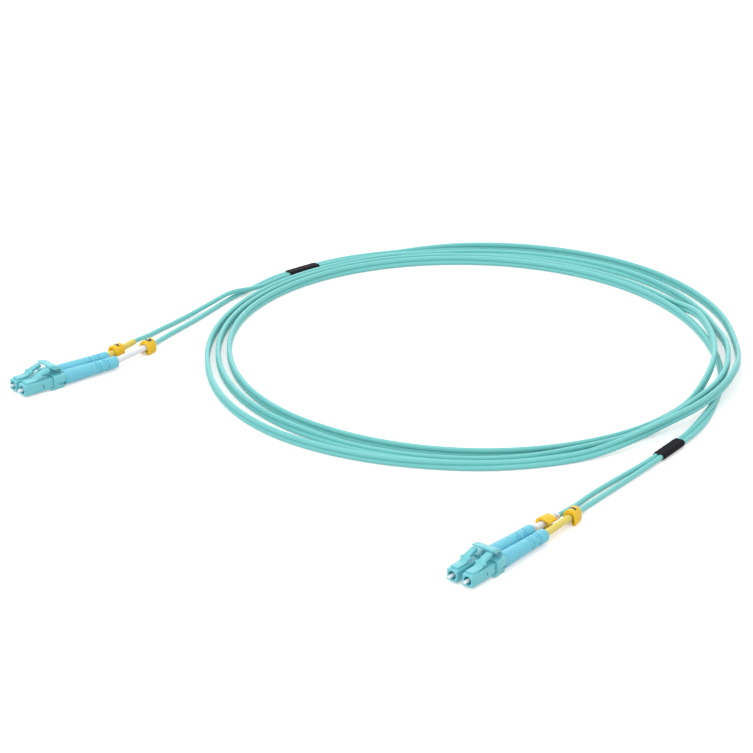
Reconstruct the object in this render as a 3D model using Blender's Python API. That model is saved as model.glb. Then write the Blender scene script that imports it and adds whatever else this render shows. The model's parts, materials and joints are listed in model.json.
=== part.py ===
"""Duplex fibre optic patch cord: two duplex connectors, their four legs and a coiled two-strand cord.

The cord lies on a table with its two duplex connectors side by side and its slack coiled in three
and a half turns. Each connector has two square plug housings with white ferrules, sprung latch arms,
a clip with a shared trigger, two long boots, and a coloured sleeve with a snap-on marker on each leg.

Frame: metres, Z up from the table. X runs from connector b to connector a, Y runs from the plugs'
faces toward the coil, and the origin is below the middle of the two connectors.
"""
import math

import bmesh
import bpy
from mathutils import Matrix, Vector

MM = 0.001
FULL_TURN = 2.0 * math.pi
UP = Vector((0.0, 0.0, 1.0))

# Driving dimensions of a connector. Along a plug, distances run backward from its front face.
CHANNEL_PITCH = 6.25 * MM          # between the two ferrule axes
AXIS_HEIGHT = 2.96 * MM            # of the ferrule axes above the table
HOUSING_WIDTH = 4.52 * MM          # square section
HOUSING_LENGTH = 18.9 * MM
HOUSING_EDGE = 0.32 * MM
FRONT_BORE = 3.16 * MM             # takes the mating sleeve
FRONT_BORE_DEPTH = 4.0 * MM
FERRULE_DIAMETER = 1.25 * MM
FERRULE_OUT = 1.72 * MM            # stands out of the housing
FERRULE_IN = 7.3 * MM
FERRULE_CHAMFER = 0.15 * MM
REAR_BORE = 3.5 * MM
SEAT_THICKNESS = 1.2 * MM          # wall between the two bores, which the flange rests on
WINDOW_LENGTH = 1.7 * MM
WINDOW_HEIGHT = 1.4 * MM
WINDOW_FROM_REAR = 2.6 * MM
FLANGE_ACROSS = 3.2 * MM           # over the corners of the hexagon
FLANGE_LENGTH = 1.8 * MM
FLANGE_NECK = 1.9 * MM             # tube behind the hexagon, inside the spring
FLANGE_NECK_LENGTH = 2.2 * MM
SPRING_WIRE = 0.32 * MM
SPRING_TURNS = 4
SPRING_STEPS = 8                   # points in one turn of the spring
STOP_DEPTH = 6.32 * MM             # of the spring stop, pressed into the housing's rear
STOP_COLLAR = 4.1 * MM
STOP_COLLAR_LENGTH = 0.9 * MM
POST_DIAMETER = 2.7 * MM           # crimp post behind the collar
POST_LENGTH = 4.0 * MM
POST_BORE = 1.5 * MM
FIBRE_DIAMETER = 0.9 * MM          # buffered fibre inside the plug
FIBRE_START = 8.9 * MM
CRIMP_WALL = 0.28 * MM
CRIMP_TAIL = 3.4 * MM              # narrow end of the crimp sleeve, over the jacket

# Latch arms and the clip that holds the two plugs together.
ROOT_WIDTH = 3.34 * MM
ROOT_START = 1.25 * MM
ROOT_END = 4.35 * MM
ROOT_HEIGHT = 0.78 * MM            # above the housing
ARM_ROOT_THICKNESS = 0.7 * MM
ARM_THICKNESS = 0.95 * MM
ARM_FRONT_WIDTH = 3.05 * MM         # just before its lugs
ARM_WAIST = 2.6 * MM               # behind them
ARM_TIP_WIDTH = 2.35 * MM
ARM_END_FROM_REAR = 5.95 * MM      # of the housing
ARM_RISE = 3.05 * MM               # of the arm's tip above the root block
LUG_WIDTH = 3.93 * MM
LUG_START = 7.3 * MM
LUG_LENGTH = 1.1 * MM
LUG_CORNER = 0.3 * MM
CLIP_WALL = 0.735 * MM             # beside the housings
CLIP_OVERHANG = 0.1 * MM           # of the clip past the housings' rear
CLIP_LENGTH = 6.0 * MM
CLIP_ROOF = 0.46 * MM              # over the housings
CLIP_FLOOR = 0.55 * MM
CLIP_EDGE = 0.9 * MM
CLIP_SIDE_STEP = 0.5 * MM          # the lower side stands in by this
CLIP_SKIRT_HEIGHT = 2.7 * MM       # of the step above the table
CLIP_SLOT = 0.55 * MM
CLIP_RELIEF = 0.2 * MM             # step round each channel's mouth
CLIP_RELIEF_DEPTH = 0.5 * MM
CLIP_FOOT = 1.1 * MM               # diameter of the two round feet under the clip's front
TRIGGER_WIDTH = 8.84 * MM
TRIGGER_THICKNESS = 0.5 * MM
TRIGGER_FRONT_FROM_REAR = 6.15 * MM   # of the housing
TRIGGER_HEIGHT = 9.95 * MM
TRIGGER_EDGE = 0.12 * MM

# Boots, sleeves and markers.
BOOT_FRONT_DIAMETER = 5.3 * MM
BOOT_REAR_DIAMETER = 4.95 * MM
BOOT_LENGTH = 26.2 * MM
BOOT_TAPER_START = 6.0 * MM        # from the boot's front
BOOT_TAPER_END = 20.0 * MM
BOOT_WALL_REAR = 0.58 * MM
BOOT_FLARE = 3.4 * MM              # length of the wide mouth at the boot's rear
SLOT_PAIRS = 2                     # pairs of rows of flex slots
SLOT_PAIR_PITCH = 4.15 * MM
SLOT_ROW_PITCH = 1.4 * MM          # between the two rows of a pair
SLOT_FROM_REAR = 4.85 * MM
SLOT_WIDTH = 0.45 * MM
SLOT_DEPTH = 0.35 * MM
SLOT_SPAN = math.radians(142.0)
SLOT_STEPS = 5
STRAND_DIAMETER = 2.0 * MM
SLEEVE_WALL = 0.26 * MM
SLEEVE_CLEARANCE = 0.06 * MM
MARKER_WALL = 1.0 * MM
MARKER_LENGTH = 4.0 * MM
MARKER_FOOT = 0.55 * MM
MARKER_CLEARANCE = 0.28 * MM       # round the sleeve
MARKER_EDGE = 0.2 * MM

# The cord, its heat-shrinks and its route on the table.
STRAND_PITCH = 2.05 * MM           # between the two strands' centres
CORD_CLEARANCE = 0.03 * MM         # over the table
SHRINK_LENGTH = 16.4 * MM
SHRINK_WALL = 0.36 * MM
SHRINK_CLEARANCE = 0.14 * MM
FACE_GAP = 0.3 * MM                # between pieces that rest against each other
FIT_GAP = 0.08 * MM                # around pieces that slide or press into each other
CONNECTOR_SPREAD = 236.2 * MM      # between the two connectors' front faces
POINTS_PER_TURN = 24
CROSSING_LIFT = 4.55 * MM          # of a turn where it crosses the cord's front tail
FRAME_SHIFT = 22.0 * MM            # from the plugs' front faces to the origin, along Y
LEG_STEPS = 4                      # points on each stretch of a leg
COIL_CENTRE = (-23.2 * MM, 161.88 * MM)   # from the middle of the front faces
COIL_DATUM = math.radians(43.7)    # bearing of the coil's zero station
STATIONS = (0, 20, 50, 75, 100, 125, 160, 190, 230, 268, 300, 330)
TURN_RADII = (                     # millimetres at those stations, innermost turn first
    (98.8, 96.3, 96.5, 97.2, 98.1, 98.7, 98.9, 99.6, 105.2, 109.2, 108.0, 103.0),
    (99.4, 99.0, 99.2, 100.2, 101.6, 101.9, 102.2, 104.4, 111.4, 115.2, 111.1, 109.2),
    (104.4, 105.3, 109.0, 109.4, 106.1, 104.6, 105.1, 109.0, 119.9, 120.4, 116.0, 112.3),
    (109.6, 112.3, 117.0, 116.9, 112.9, 111.1),
)
TAIL_RADII = ((-40, 115.7), (-30, 110.6), (-17, 104.6))   # station and radius before the first turn
# Where a turn lifts over the tail: stations of the rise's start and end and of the fall's, by turn.
LIFTS = ((320, 343, 370, 392), (658, 686, 709, 733), (1006, 1034, 1057, 1080))
# Where the cord leans over: the same four stations and the lean from upright, in degrees.
LEANS = (
    (-60, -59, -49, -30, 90.0), (75, 95, 113, 140, 24.0), (580, 608, 636, 660, 62.0),
    (752, 792, 818, 836, 60.0), (975, 998, 1008, 1030, 50.0), (1160, 1192, 1220, 1221, 90.0),
)
COIL_START, COIL_END = -30, 1185   # stations between which the cord runs on the coil's radii
LEAD_STEPS, TAIL_STEPS = 6, 4      # points on the runs to the two heat-shrinks
SHRINK_A = (72.3 * MM, -103.65 * MM, math.radians(55.5))  # centre and bearing, from the coil's centre
SHRINK_B = (-71.5 * MM, 85.3 * MM, math.radians(40.5))


def clear_scene():
    """Remove every object of the scene."""
    for item in list(bpy.data.objects):
        bpy.data.objects.remove(item, do_unlink=True)


def make_material(name, colour, roughness, metallic=0.0):
    """Make a Principled material from a linear colour."""
    material = bpy.data.materials.new(name)
    material.use_nodes = True
    shader = material.node_tree.nodes["Principled BSDF"]
    shader.inputs["Base Color"].default_value = (*colour, 1.0)
    shader.inputs["Roughness"].default_value = roughness
    shader.inputs["Metallic"].default_value = metallic
    return material


def smooth_edges(mesh):
    """Shade a mesh smooth with its corners kept sharp."""
    mesh.shade_smooth()
    mesh.set_sharp_from_angle(angle=math.radians(35.0))


def mesh_from(bm, name):
    """Turn a bmesh into a mesh whose faces point out."""
    bmesh.ops.recalc_face_normals(bm, faces=bm.faces)
    mesh = bpy.data.meshes.new(name)
    bm.to_mesh(mesh)
    bm.free()
    return mesh


def turned(name, profile, segments=20):
    """Revolve a closed profile of (distance along Y, radius) points about the Y axis."""
    bm = bmesh.new()
    corners = [bm.verts.new((radius, along, 0.0)) for along, radius in profile]
    rim = [bm.edges.new((a, b)) for a, b in zip(corners, corners[1:] + corners[:1])]
    bmesh.ops.spin(bm, geom=corners + rim, cent=(0, 0, 0), axis=(0, 1, 0),
                   angle=FULL_TURN, steps=segments, use_merge=True)
    bmesh.ops.remove_doubles(bm, verts=bm.verts, dist=0.0001 * MM)
    on_axis = [edge for edge in bm.edges if all(math.hypot(v.co.x, v.co.z) < 0.0001 * MM for v in edge.verts)]
    bmesh.ops.delete(bm, geom=on_axis, context="EDGES")
    return mesh_from(bm, name)


def block(name, low, high, bevel=0.0, rounded=None):
    """Make a box between two corners, with the edges that `rounded` picks bevelled."""
    bm = bmesh.new()
    size = [b - a for a, b in zip(low, high)]
    middle = [(a + b) / 2 for a, b in zip(low, high)]
    bmesh.ops.create_cube(bm, size=1.0, matrix=Matrix.Translation(middle) @ Matrix.Diagonal((*size, 1.0)))
    if bevel:
        edges = [edge for edge in bm.edges if rounded is None or rounded(edge)]
        bmesh.ops.bevel(bm, geom=edges, offset=bevel, segments=3, profile=0.5, affect="EDGES")
    return mesh_from(bm, name)


def slab(name, outline, low, high):
    """Extrude an outline of (y, z) points along X."""
    bm = bmesh.new()
    face = bm.faces.new([bm.verts.new((low, y, z)) for y, z in outline])
    moved = bmesh.ops.extrude_face_region(bm, geom=[face])["geom"]
    corners = [item for item in moved if isinstance(item, bmesh.types.BMVert)]
    bmesh.ops.translate(bm, verts=corners, vec=(high - low, 0.0, 0.0))
    return mesh_from(bm, name)


def carved(name, body, cutters=(), additions=(), keep=None):
    """Cut and join meshes by exact booleans and return the finished mesh."""
    piece = bpy.data.objects.new(name, body)
    bpy.context.collection.objects.link(piece)
    tools = [(mesh, "UNION") for mesh in additions] + [(mesh, "DIFFERENCE") for mesh in cutters]
    if keep is not None:
        tools.append((keep, "INTERSECT"))
    helpers = []
    for index, (mesh, operation) in enumerate(tools):
        helper = bpy.data.objects.new(f"{name}_tool{index}", mesh)
        helper.hide_render = True
        helper.display_type = "WIRE"
        bpy.context.collection.objects.link(helper)
        helpers.append(helper)
        step = piece.modifiers.new(f"tool{index}", "BOOLEAN")
        step.operation = operation
        step.object = helper
    bpy.context.view_layer.update()
    finished = bpy.data.meshes.new_from_object(piece.evaluated_get(bpy.context.evaluated_depsgraph_get()))
    for item in [piece, *helpers]:
        bpy.data.objects.remove(item, do_unlink=True)
    return finished


def place(name, mesh, material, pose=None):
    """Add a named object that shows a mesh in a pose."""
    mesh.materials.clear()
    mesh.materials.append(material)
    smooth_edges(mesh)
    item = bpy.data.objects.new(name, mesh)
    bpy.context.collection.objects.link(item)
    if pose is not None:
        item.matrix_world = pose
    return item


def tube_mesh(name, points, diameter, resolution=2, section=None, leans=None):
    """Sweep a round or given section along points, with filled ends."""
    curve = bpy.data.curves.new(name, "CURVE")
    curve.dimensions = "3D"
    curve.twist_mode = "Z_UP"
    curve.use_fill_caps = True
    spline = curve.splines.new("POLY")
    spline.points.add(len(points) - 1)
    for index, point in enumerate(points):
        spline.points[index].co = (*point, 1.0)
        if leans:
            spline.points[index].tilt = leans[index]
    if section is None:
        curve.bevel_depth = diameter / 2
        curve.bevel_resolution = resolution
    else:
        curve.bevel_mode = "OBJECT"
        curve.bevel_object = section
    path = bpy.data.objects.new(name, curve)
    bpy.context.collection.objects.link(path)
    bpy.context.view_layer.update()
    mesh = bpy.data.meshes.new_from_object(path.evaluated_get(bpy.context.evaluated_depsgraph_get()))
    bpy.data.objects.remove(path, do_unlink=True)
    bm = bmesh.new()
    bm.from_mesh(mesh)
    bmesh.ops.remove_doubles(bm, verts=bm.verts, dist=0.0001 * MM)
    return mesh_from(bm, name)


def clip_end():
    """Distance from the plug's face to the clip's rear."""
    return HOUSING_LENGTH + CLIP_OVERHANG


def clip_start():
    """Distance from the plug's face to the clip's front."""
    return clip_end() - CLIP_LENGTH


def clip_half_width():
    """Half of the clip's width, over both housings."""
    return (CHANNEL_PITCH + HOUSING_WIDTH) / 2 + FIT_GAP + CLIP_WALL


# ---- Plug pieces, each about its ferrule axis, with Y running back from the plug's face ----

def housing_mesh():
    """Square plug housing with its stepped bore, latch root block and two snap windows."""
    half = HOUSING_WIDTH / 2
    body = block("housing", (-half, 0, -half), (half, HOUSING_LENGTH, half), HOUSING_EDGE)
    root = block("root", (-ROOT_WIDTH / 2, ROOT_START, half - HOUSING_EDGE),
                 (ROOT_WIDTH / 2, ROOT_END, half + ROOT_HEIGHT), ROOT_HEIGHT / 4,
                 lambda edge: all(v.co.z > half for v in edge.verts))
    seat = FRONT_BORE_DEPTH + SEAT_THICKNESS
    hole = FERRULE_DIAMETER / 2 + FIT_GAP
    over = HOUSING_EDGE
    bore = turned("bore", [
        (-over, 0), (-over, FRONT_BORE / 2), (FRONT_BORE_DEPTH, FRONT_BORE / 2), (FRONT_BORE_DEPTH, hole),
        (seat, hole), (seat, REAR_BORE / 2), (HOUSING_LENGTH + over, REAR_BORE / 2), (HOUSING_LENGTH + over, 0)])
    back = HOUSING_LENGTH - WINDOW_FROM_REAR
    window = block("window", (-HOUSING_WIDTH, back - WINDOW_LENGTH, -WINDOW_HEIGHT / 2),
                   (HOUSING_WIDTH, back, WINDOW_HEIGHT / 2))
    return carved("housing", body, [bore, window], [root])


def ferrule_mesh():
    """Ceramic ferrule with a chamfered tip; its origin is on its axis at the plug's face."""
    radius = FERRULE_DIAMETER / 2
    return turned("ferrule", [
        (-FERRULE_OUT, 0), (-FERRULE_OUT, radius - FERRULE_CHAMFER),
        (-FERRULE_OUT + FERRULE_CHAMFER, radius), (FERRULE_IN, radius), (FERRULE_IN, 0)])


def flange_start():
    """Distance from the plug's face to the flange, which rests on the housing's seat."""
    return FRONT_BORE_DEPTH + SEAT_THICKNESS + FACE_GAP


def flange_mesh():
    """Hexagonal flange that carries the ferrule, with a round neck inside the spring."""
    start = flange_start()
    back = start + FLANGE_LENGTH
    hexagon = turned("hexagon", [(start, 0), (start, FLANGE_ACROSS / 2), (back, FLANGE_ACROSS / 2), (back, 0)], 6)
    neck = turned("neck", [(start + FACE_GAP, 0), (start + FACE_GAP, FLANGE_NECK / 2),
                           (back + FLANGE_NECK_LENGTH, FLANGE_NECK / 2), (back + FLANGE_NECK_LENGTH, 0)])
    hole = FERRULE_DIAMETER / 2 + FIT_GAP
    bore = turned("bore", [(0, 0), (0, hole), (HOUSING_LENGTH, hole), (HOUSING_LENGTH, 0)])
    return carved("flange", hexagon, [bore], [neck])


def spring_span():
    """Start and end of the spring, between the flange and the stop."""
    start = flange_start() + FLANGE_LENGTH + SPRING_WIRE / 2 + FIT_GAP
    return start, stop_start() - SPRING_WIRE / 2 - FIT_GAP


def spring_mesh():
    """Compression spring round the flange's neck, wound from one wire."""
    start, end = spring_span()
    radius = (REAR_BORE - SPRING_WIRE) / 2 - FIT_GAP
    steps = SPRING_STEPS * SPRING_TURNS
    points = []
    for step in range(steps + 1):
        angle = FULL_TURN * step / SPRING_STEPS
        along = start + (end - start) * step / steps
        points.append(Vector((radius * math.cos(angle), along, radius * math.sin(angle))))
    return tube_mesh("spring", points, SPRING_WIRE, 1)


def stop_start():
    """Distance from the plug's face to the spring stop."""
    return HOUSING_LENGTH - STOP_DEPTH


def collar_start():
    """Distance to the stop's collar, just behind the housing."""
    return HOUSING_LENGTH + FACE_GAP


def stop_mesh():
    """Spring stop: a tube in the housing, a collar behind it and the crimp post."""
    start = stop_start()
    collar = collar_start()
    post = collar + STOP_COLLAR_LENGTH
    tube = REAR_BORE / 2 - FIT_GAP
    return turned("stop", [
        (start, POST_BORE / 2), (start, tube), (collar, tube), (collar, STOP_COLLAR / 2),
        (post, STOP_COLLAR / 2), (post, POST_DIAMETER / 2), (post + POST_LENGTH, POST_DIAMETER / 2),
        (post + POST_LENGTH, POST_BORE / 2)])


def post_end():
    """Distance to the rear end of the crimp post."""
    return collar_start() + STOP_COLLAR_LENGTH + POST_LENGTH


def fibre_mesh():
    """Buffered fibre from the flange's neck to the jacket's end."""
    radius = FIBRE_DIAMETER / 2
    return turned("fibre", [(FIBRE_START, 0), (FIBRE_START, radius), (post_end(), radius), (post_end(), 0)], 10)


def crimp_mesh():
    """Crimp sleeve: wide over the post, narrow over the leg's jacket."""
    start = collar_start() + STOP_COLLAR_LENGTH + FACE_GAP
    step = post_end() + FACE_GAP
    wide = POST_DIAMETER / 2 + FIT_GAP
    narrow = STRAND_DIAMETER / 2 + FIT_GAP
    return turned("crimp", [
        (start, wide), (start, wide + CRIMP_WALL), (step, wide + CRIMP_WALL),
        (step + CRIMP_WALL, narrow + CRIMP_WALL), (step + CRIMP_TAIL, narrow + CRIMP_WALL),
        (step + CRIMP_TAIL, narrow), (step, narrow), (step - FACE_GAP, wide)])


def jacket_start():
    """Distance from the plug's face to the leg's front end, inside the crimp sleeve."""
    return post_end() + 2 * FACE_GAP


def boot_start():
    """Distance to the boot's front, just behind the clip."""
    return clip_end() + FACE_GAP


def boot_end():
    """Distance to the boot's rear end."""
    return boot_start() + BOOT_LENGTH


def slot_ring(pair, row):
    """Two opposite arcs that cut one row of the boot's flex slots, at its sides or a quarter turn on."""
    centre = boot_end() - SLOT_FROM_REAR - pair * SLOT_PAIR_PITCH - row * SLOT_ROW_PITCH
    outer = BOOT_FRONT_DIAMETER / 2
    inner = BOOT_REAR_DIAMETER / 2 - SLOT_DEPTH
    bm = bmesh.new()
    for side in range(2):
        middle = math.pi * side + math.pi / 2 * row
        start = Matrix.Rotation(middle - SLOT_SPAN / 2, 4, "Y")
        low, high = centre - SLOT_WIDTH / 2, centre + SLOT_WIDTH / 2
        corners = [bm.verts.new(start @ Vector(point)) for point in (
            (inner, low, 0), (outer, low, 0), (outer, high, 0), (inner, high, 0))]
        face = bm.faces.new(corners)
        bmesh.ops.spin(bm, geom=[face], cent=(0, 0, 0), axis=(0, 1, 0), angle=SLOT_SPAN, steps=SLOT_STEPS)
    return mesh_from(bm, "slots")


def boot_mesh():
    """Strain-relief boot: straight, then tapered, with pairs of slotted rows before a plain cuff."""
    start, end = boot_start(), boot_end()
    radius = BOOT_REAR_DIAMETER / 2
    collar = STOP_COLLAR / 2 + FIT_GAP
    behind = collar_start() + STOP_COLLAR_LENGTH + FACE_GAP
    crimp = POST_DIAMETER / 2 + FIT_GAP + CRIMP_WALL + FIT_GAP
    step = post_end() + 2 * FACE_GAP + CRIMP_WALL
    bore = STRAND_DIAMETER / 2 + FIT_GAP + CRIMP_WALL + FIT_GAP
    mouth = radius - BOOT_WALL_REAR
    edge = BOOT_WALL_REAR / 3
    body = turned("boot", [
        (start, collar), (start, BOOT_FRONT_DIAMETER / 2 - edge), (start + edge, BOOT_FRONT_DIAMETER / 2),
        (start + BOOT_TAPER_START, BOOT_FRONT_DIAMETER / 2), (start + BOOT_TAPER_END, radius),
        (end - edge, radius), (end - edge / 3, radius - edge / 3), (end, radius - edge),
        (end, mouth), (end - BOOT_FLARE, mouth), (end - BOOT_FLARE - edge, bore), (step, bore), (step, crimp),
        (behind, crimp), (behind, collar)])
    return carved("boot", body, [slot_ring(pair, row) for pair in range(SLOT_PAIRS) for row in (0, 1)])


def arm_hinge():
    """Y and Z of the arm's flexing root, behind the root block."""
    return ROOT_END + FIT_GAP + ARM_ROOT_THICKNESS / 2, HOUSING_WIDTH / 2 + ROOT_HEIGHT - ARM_ROOT_THICKNESS / 2


def arm_mesh():
    """Latch arm: rises from its root, narrows past two small lugs and ends under the trigger."""
    hinge_y, hinge_z = arm_hinge()
    start = ROOT_END + FIT_GAP
    top = HOUSING_WIDTH / 2 + ROOT_HEIGHT
    end = HOUSING_LENGTH - ARM_END_FROM_REAR
    reach = end - start
    rises = ((0.0, 0.0), (0.08, 0.1), (0.2, 0.32), (0.32, 0.52), (0.45, 0.66), (0.7, 0.83), (0.9, 0.97), (1.0, 1.0))
    upper = [(start + reach * along, top + ARM_RISE * rise) for along, rise in rises]
    lower = [(y, z - ARM_THICKNESS) for y, z in upper]
    lower[:2] = [(y, z - ARM_ROOT_THICKNESS) for y, z in upper[:2]]
    outline = [(y - hinge_y, z - hinge_z) for y, z in upper + lower[::-1]]
    side = slab("arm", outline, -LUG_WIDTH, LUG_WIDTH)
    lug_end = LUG_START + LUG_LENGTH
    half_widths = (
        (start - FACE_GAP, ROOT_WIDTH), (start + ARM_THICKNESS, ROOT_WIDTH), (LUG_START, ARM_FRONT_WIDTH),
        (LUG_START + LUG_CORNER, LUG_WIDTH), (lug_end - LUG_CORNER, LUG_WIDTH), (lug_end, ARM_WAIST),
        (end + FACE_GAP, ARM_TIP_WIDTH))
    right = [(width / 2, y - hinge_y) for y, width in half_widths]
    left = [(-x, y) for x, y in right[::-1]]
    bm = bmesh.new()
    plan = bm.faces.new([bm.verts.new((x, y, -HOUSING_WIDTH)) for x, y in right + left])
    raised = bmesh.ops.extrude_face_region(bm, geom=[plan])["geom"]
    corners = [item for item in raised if isinstance(item, bmesh.types.BMVert)]
    bmesh.ops.translate(bm, verts=corners, vec=(0, 0, 3 * HOUSING_WIDTH))
    return carved("arm", side, keep=mesh_from(bm, "plan"))


# ---- Pieces of a whole connector, in its own frame: X across, Y back, Z up from the table ----

def clip_mesh():
    """Clip that carries both plugs: a hood over a narrower base, two feet and four side slots."""
    half = clip_half_width()
    start, end = clip_start(), clip_end()
    top = AXIS_HEIGHT + HOUSING_WIDTH / 2 + FIT_GAP + CLIP_ROOF
    bottom = AXIS_HEIGHT - HOUSING_WIDTH / 2 - FIT_GAP - CLIP_FLOOR
    hood = block("hood", (-half, start, bottom), (half, end, top), CLIP_EDGE,
                 lambda edge: all(v.co.z > top - CLIP_EDGE for v in edge.verts)
                 and abs(edge.verts[0].co.y - edge.verts[1].co.y) > CLIP_EDGE)
    cutters = []
    for side in (-1, 1):
        centre = side * CHANNEL_PITCH / 2
        reach = HOUSING_WIDTH / 2 + FIT_GAP
        cutters.append(block("channel", (centre - reach, start - CLIP_EDGE, AXIS_HEIGHT - reach),
                             (centre + reach, end + CLIP_EDGE, AXIS_HEIGHT + reach)))
        mouth = reach + CLIP_RELIEF
        cutters.append(block("mouth", (centre - mouth, start - CLIP_EDGE, AXIS_HEIGHT - mouth),
                             (centre + mouth, start + CLIP_RELIEF_DEPTH, AXIS_HEIGHT + mouth)))
        inner, outer = sorted((side * (half - CLIP_SIDE_STEP), side * (half + CLIP_EDGE)))
        cutters.append(block("step", (inner, start - CLIP_EDGE, bottom - CLIP_EDGE),
                             (outer, end + CLIP_EDGE, CLIP_SKIRT_HEIGHT)))
        for slot in (1, 2):
            middle = end - slot * 2 * CLIP_SLOT
            low, high = sorted((side * (centre * side + HOUSING_WIDTH / 2), side * half))
            cutters.append(block("slot", (low, middle - CLIP_SLOT / 2, CLIP_SKIRT_HEIGHT - 3 * CLIP_SLOT),
                                 (high, middle + CLIP_SLOT / 2, CLIP_SKIRT_HEIGHT - CLIP_SLOT)))
    feet = []
    for side in (-1, 1):
        low, high = sorted((side * (half - CLIP_SIDE_STEP), side * (half - CLIP_SIDE_STEP - CLIP_FOOT)))
        foot = turned("foot", [(low, 0), (low, CLIP_FOOT / 2), (high, CLIP_FOOT / 2), (high, 0)], 16)
        foot.transform(Matrix.Translation((0, start + CLIP_FOOT / 4, CLIP_FOOT / 2 + CORD_CLEARANCE))
                       @ Matrix.Rotation(-math.pi / 2, 4, "Z"))
        feet.append(foot)
    return carved("clip", hood, cutters, feet)


def trigger_hinge():
    """Y and Z of the trigger's flexing root, above the clip's rear."""
    top = AXIS_HEIGHT + HOUSING_WIDTH / 2 + FIT_GAP + CLIP_ROOF
    return clip_end() - 2 * TRIGGER_THICKNESS, top + FACE_GAP / 2


def trigger_mesh():
    """Trigger: a wide plate over the arms' tips, thick in the middle, on a neck that curls down."""
    hinge_y, hinge_z = trigger_hinge()
    root_z = hinge_z + FACE_GAP / 2
    front = HOUSING_LENGTH - TRIGGER_FRONT_FROM_REAR
    depth = clip_end() - TRIGGER_THICKNESS / 2 - front
    height = TRIGGER_HEIGHT - root_z
    upper = ((0.0, 1.0), (0.2, 0.96), (0.42, 0.91), (0.62, 0.86), (0.71, 0.81), (0.85, 0.62), (0.94, 0.4), (1.0, 0.0))
    lower = ((0.0, 0.82), (0.14, 0.73), (0.28, 0.55), (0.4, 0.45), (0.5, 0.5), (0.58, 0.6), (0.66, 0.62),
             (0.74, 0.58), (0.82, 0.44), (0.88, 0.22), (0.9, 0.0))
    outline = [(front + depth * y, root_z + height * z) for y, z in upper]
    outline += [(front + depth * y, root_z + height * z) for y, z in lower[::-1]]
    outline = [(y - hinge_y, z - hinge_z) for y, z in outline]
    mesh = slab("trigger", outline, -TRIGGER_WIDTH / 2, TRIGGER_WIDTH / 2)
    bm = bmesh.new()
    bm.from_mesh(mesh)
    rim = [edge for edge in bm.edges if abs(edge.verts[0].co.x - edge.verts[1].co.x) < TRIGGER_THICKNESS]
    bmesh.ops.bevel(bm, geom=rim, offset=TRIGGER_EDGE, segments=1, affect="EDGES")
    return mesh_from(bm, "trigger")


# ---- Pieces on the legs ----

def sleeve_mesh(length):
    """Coloured sleeve on a leg, from its front end along Y."""
    inner = STRAND_DIAMETER / 2 + SLEEVE_CLEARANCE
    outer = inner + SLEEVE_WALL
    return turned("sleeve", [(0, inner), (0, outer), (length, outer), (length, inner)])


def marker_mesh():
    """Snap-on marker: a horseshoe round the sleeve whose ends turn out into two feet."""
    inner = STRAND_DIAMETER / 2 + SLEEVE_CLEARANCE + SLEEVE_WALL + MARKER_CLEARANCE
    outer = inner + MARKER_WALL
    drop = AXIS_HEIGHT - FIT_GAP
    arc = [math.radians(angle) for angle in range(0, 181, 20)]
    outside = [(outer * math.cos(a), outer * math.sin(a)) for a in arc]
    inside = [(inner * math.cos(a), inner * math.sin(a)) for a in arc[::-1]]
    left = [(-outer, -drop + MARKER_FOOT), (-outer + MARKER_EDGE, -drop), (-outer + MARKER_FOOT, -drop),
            (-inner, -drop + MARKER_WALL)]
    right = [(-x, z) for x, z in left[::-1]]
    outline = [(z, x) for x, z in outside + left + inside + right]
    mesh = slab("marker", outline, -MARKER_LENGTH / 2, MARKER_LENGTH / 2)
    mesh.transform(Matrix(((0, 0, 1, 0), (1, 0, 0, 0), (0, 1, 0, 0), (0, 0, 0, 1))))
    return mesh


# ---- The route of the legs and the cord ----

def ease(share):
    """Smooth step from 0 to 1."""
    share = min(max(share, 0.0), 1.0)
    return share * share * (3.0 - 2.0 * share)


def swell(station, rise_start, rise_end, fall_start, fall_end):
    """1 between the rise's end and the fall's start, easing to 0 outside."""
    rising = ease((station - rise_start) / (rise_end - rise_start))
    falling = ease((fall_end - station) / (fall_end - fall_start))
    return rising * falling


def coil_knots():
    """Stations in degrees, counted on through the turns, with the coil's radius at each."""
    knots = [(station, radius * MM) for station, radius in TAIL_RADII]
    for turn, radii in enumerate(TURN_RADII):
        knots += [(station + 360 * turn, radius * MM) for station, radius in zip(STATIONS, radii)]
    return knots


def coil_radius(station, knots):
    """Radius at a station, by a smooth cubic through the knots."""
    last = len(knots) - 2
    index = max(i for i in range(last + 1) if knots[i][0] <= station or i == 0)
    slopes = []
    for i in (index, index + 1):
        before, after = knots[max(i - 1, 0)], knots[min(i + 1, last + 1)]
        slopes.append((after[1] - before[1]) / (after[0] - before[0]))
    (start, a), (end, b) = knots[index], knots[index + 1]
    span = end - start
    share = (station - start) / span
    bend_in, bend_out = slopes[0] * span, slopes[1] * span
    return (a + share * bend_in + share ** 2 * (3 * (b - a) - 2 * bend_in - bend_out)
            + share ** 3 * (2 * (a - b) + bend_in + bend_out))


def coil_lean(station):
    """Lean of the two strands from upright; the lower strand leans toward the coil's front."""
    lean = sum(swell(station, *row[:4]) * math.radians(row[4]) for row in LEANS)
    return -lean if math.sin(math.radians(station)) > 0.0 else lean


def resting_height(lean):
    """Height of the cord's middle where its lower strand lies on the table."""
    return STRAND_DIAMETER / 2 + CORD_CLEARANCE + STRAND_PITCH / 2 * math.cos(lean)


def coil_point(station, knots):
    """Centre of the cord at a station, seen from the coil's centre, and its lean."""
    radius = coil_radius(station, knots)
    lean = coil_lean(station)
    lift = CROSSING_LIFT * sum(swell(station, *row) for row in LIFTS)
    angle = math.radians(station)
    return Vector((radius * math.cos(angle), radius * math.sin(angle), resting_height(lean) + lift)), lean


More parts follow.
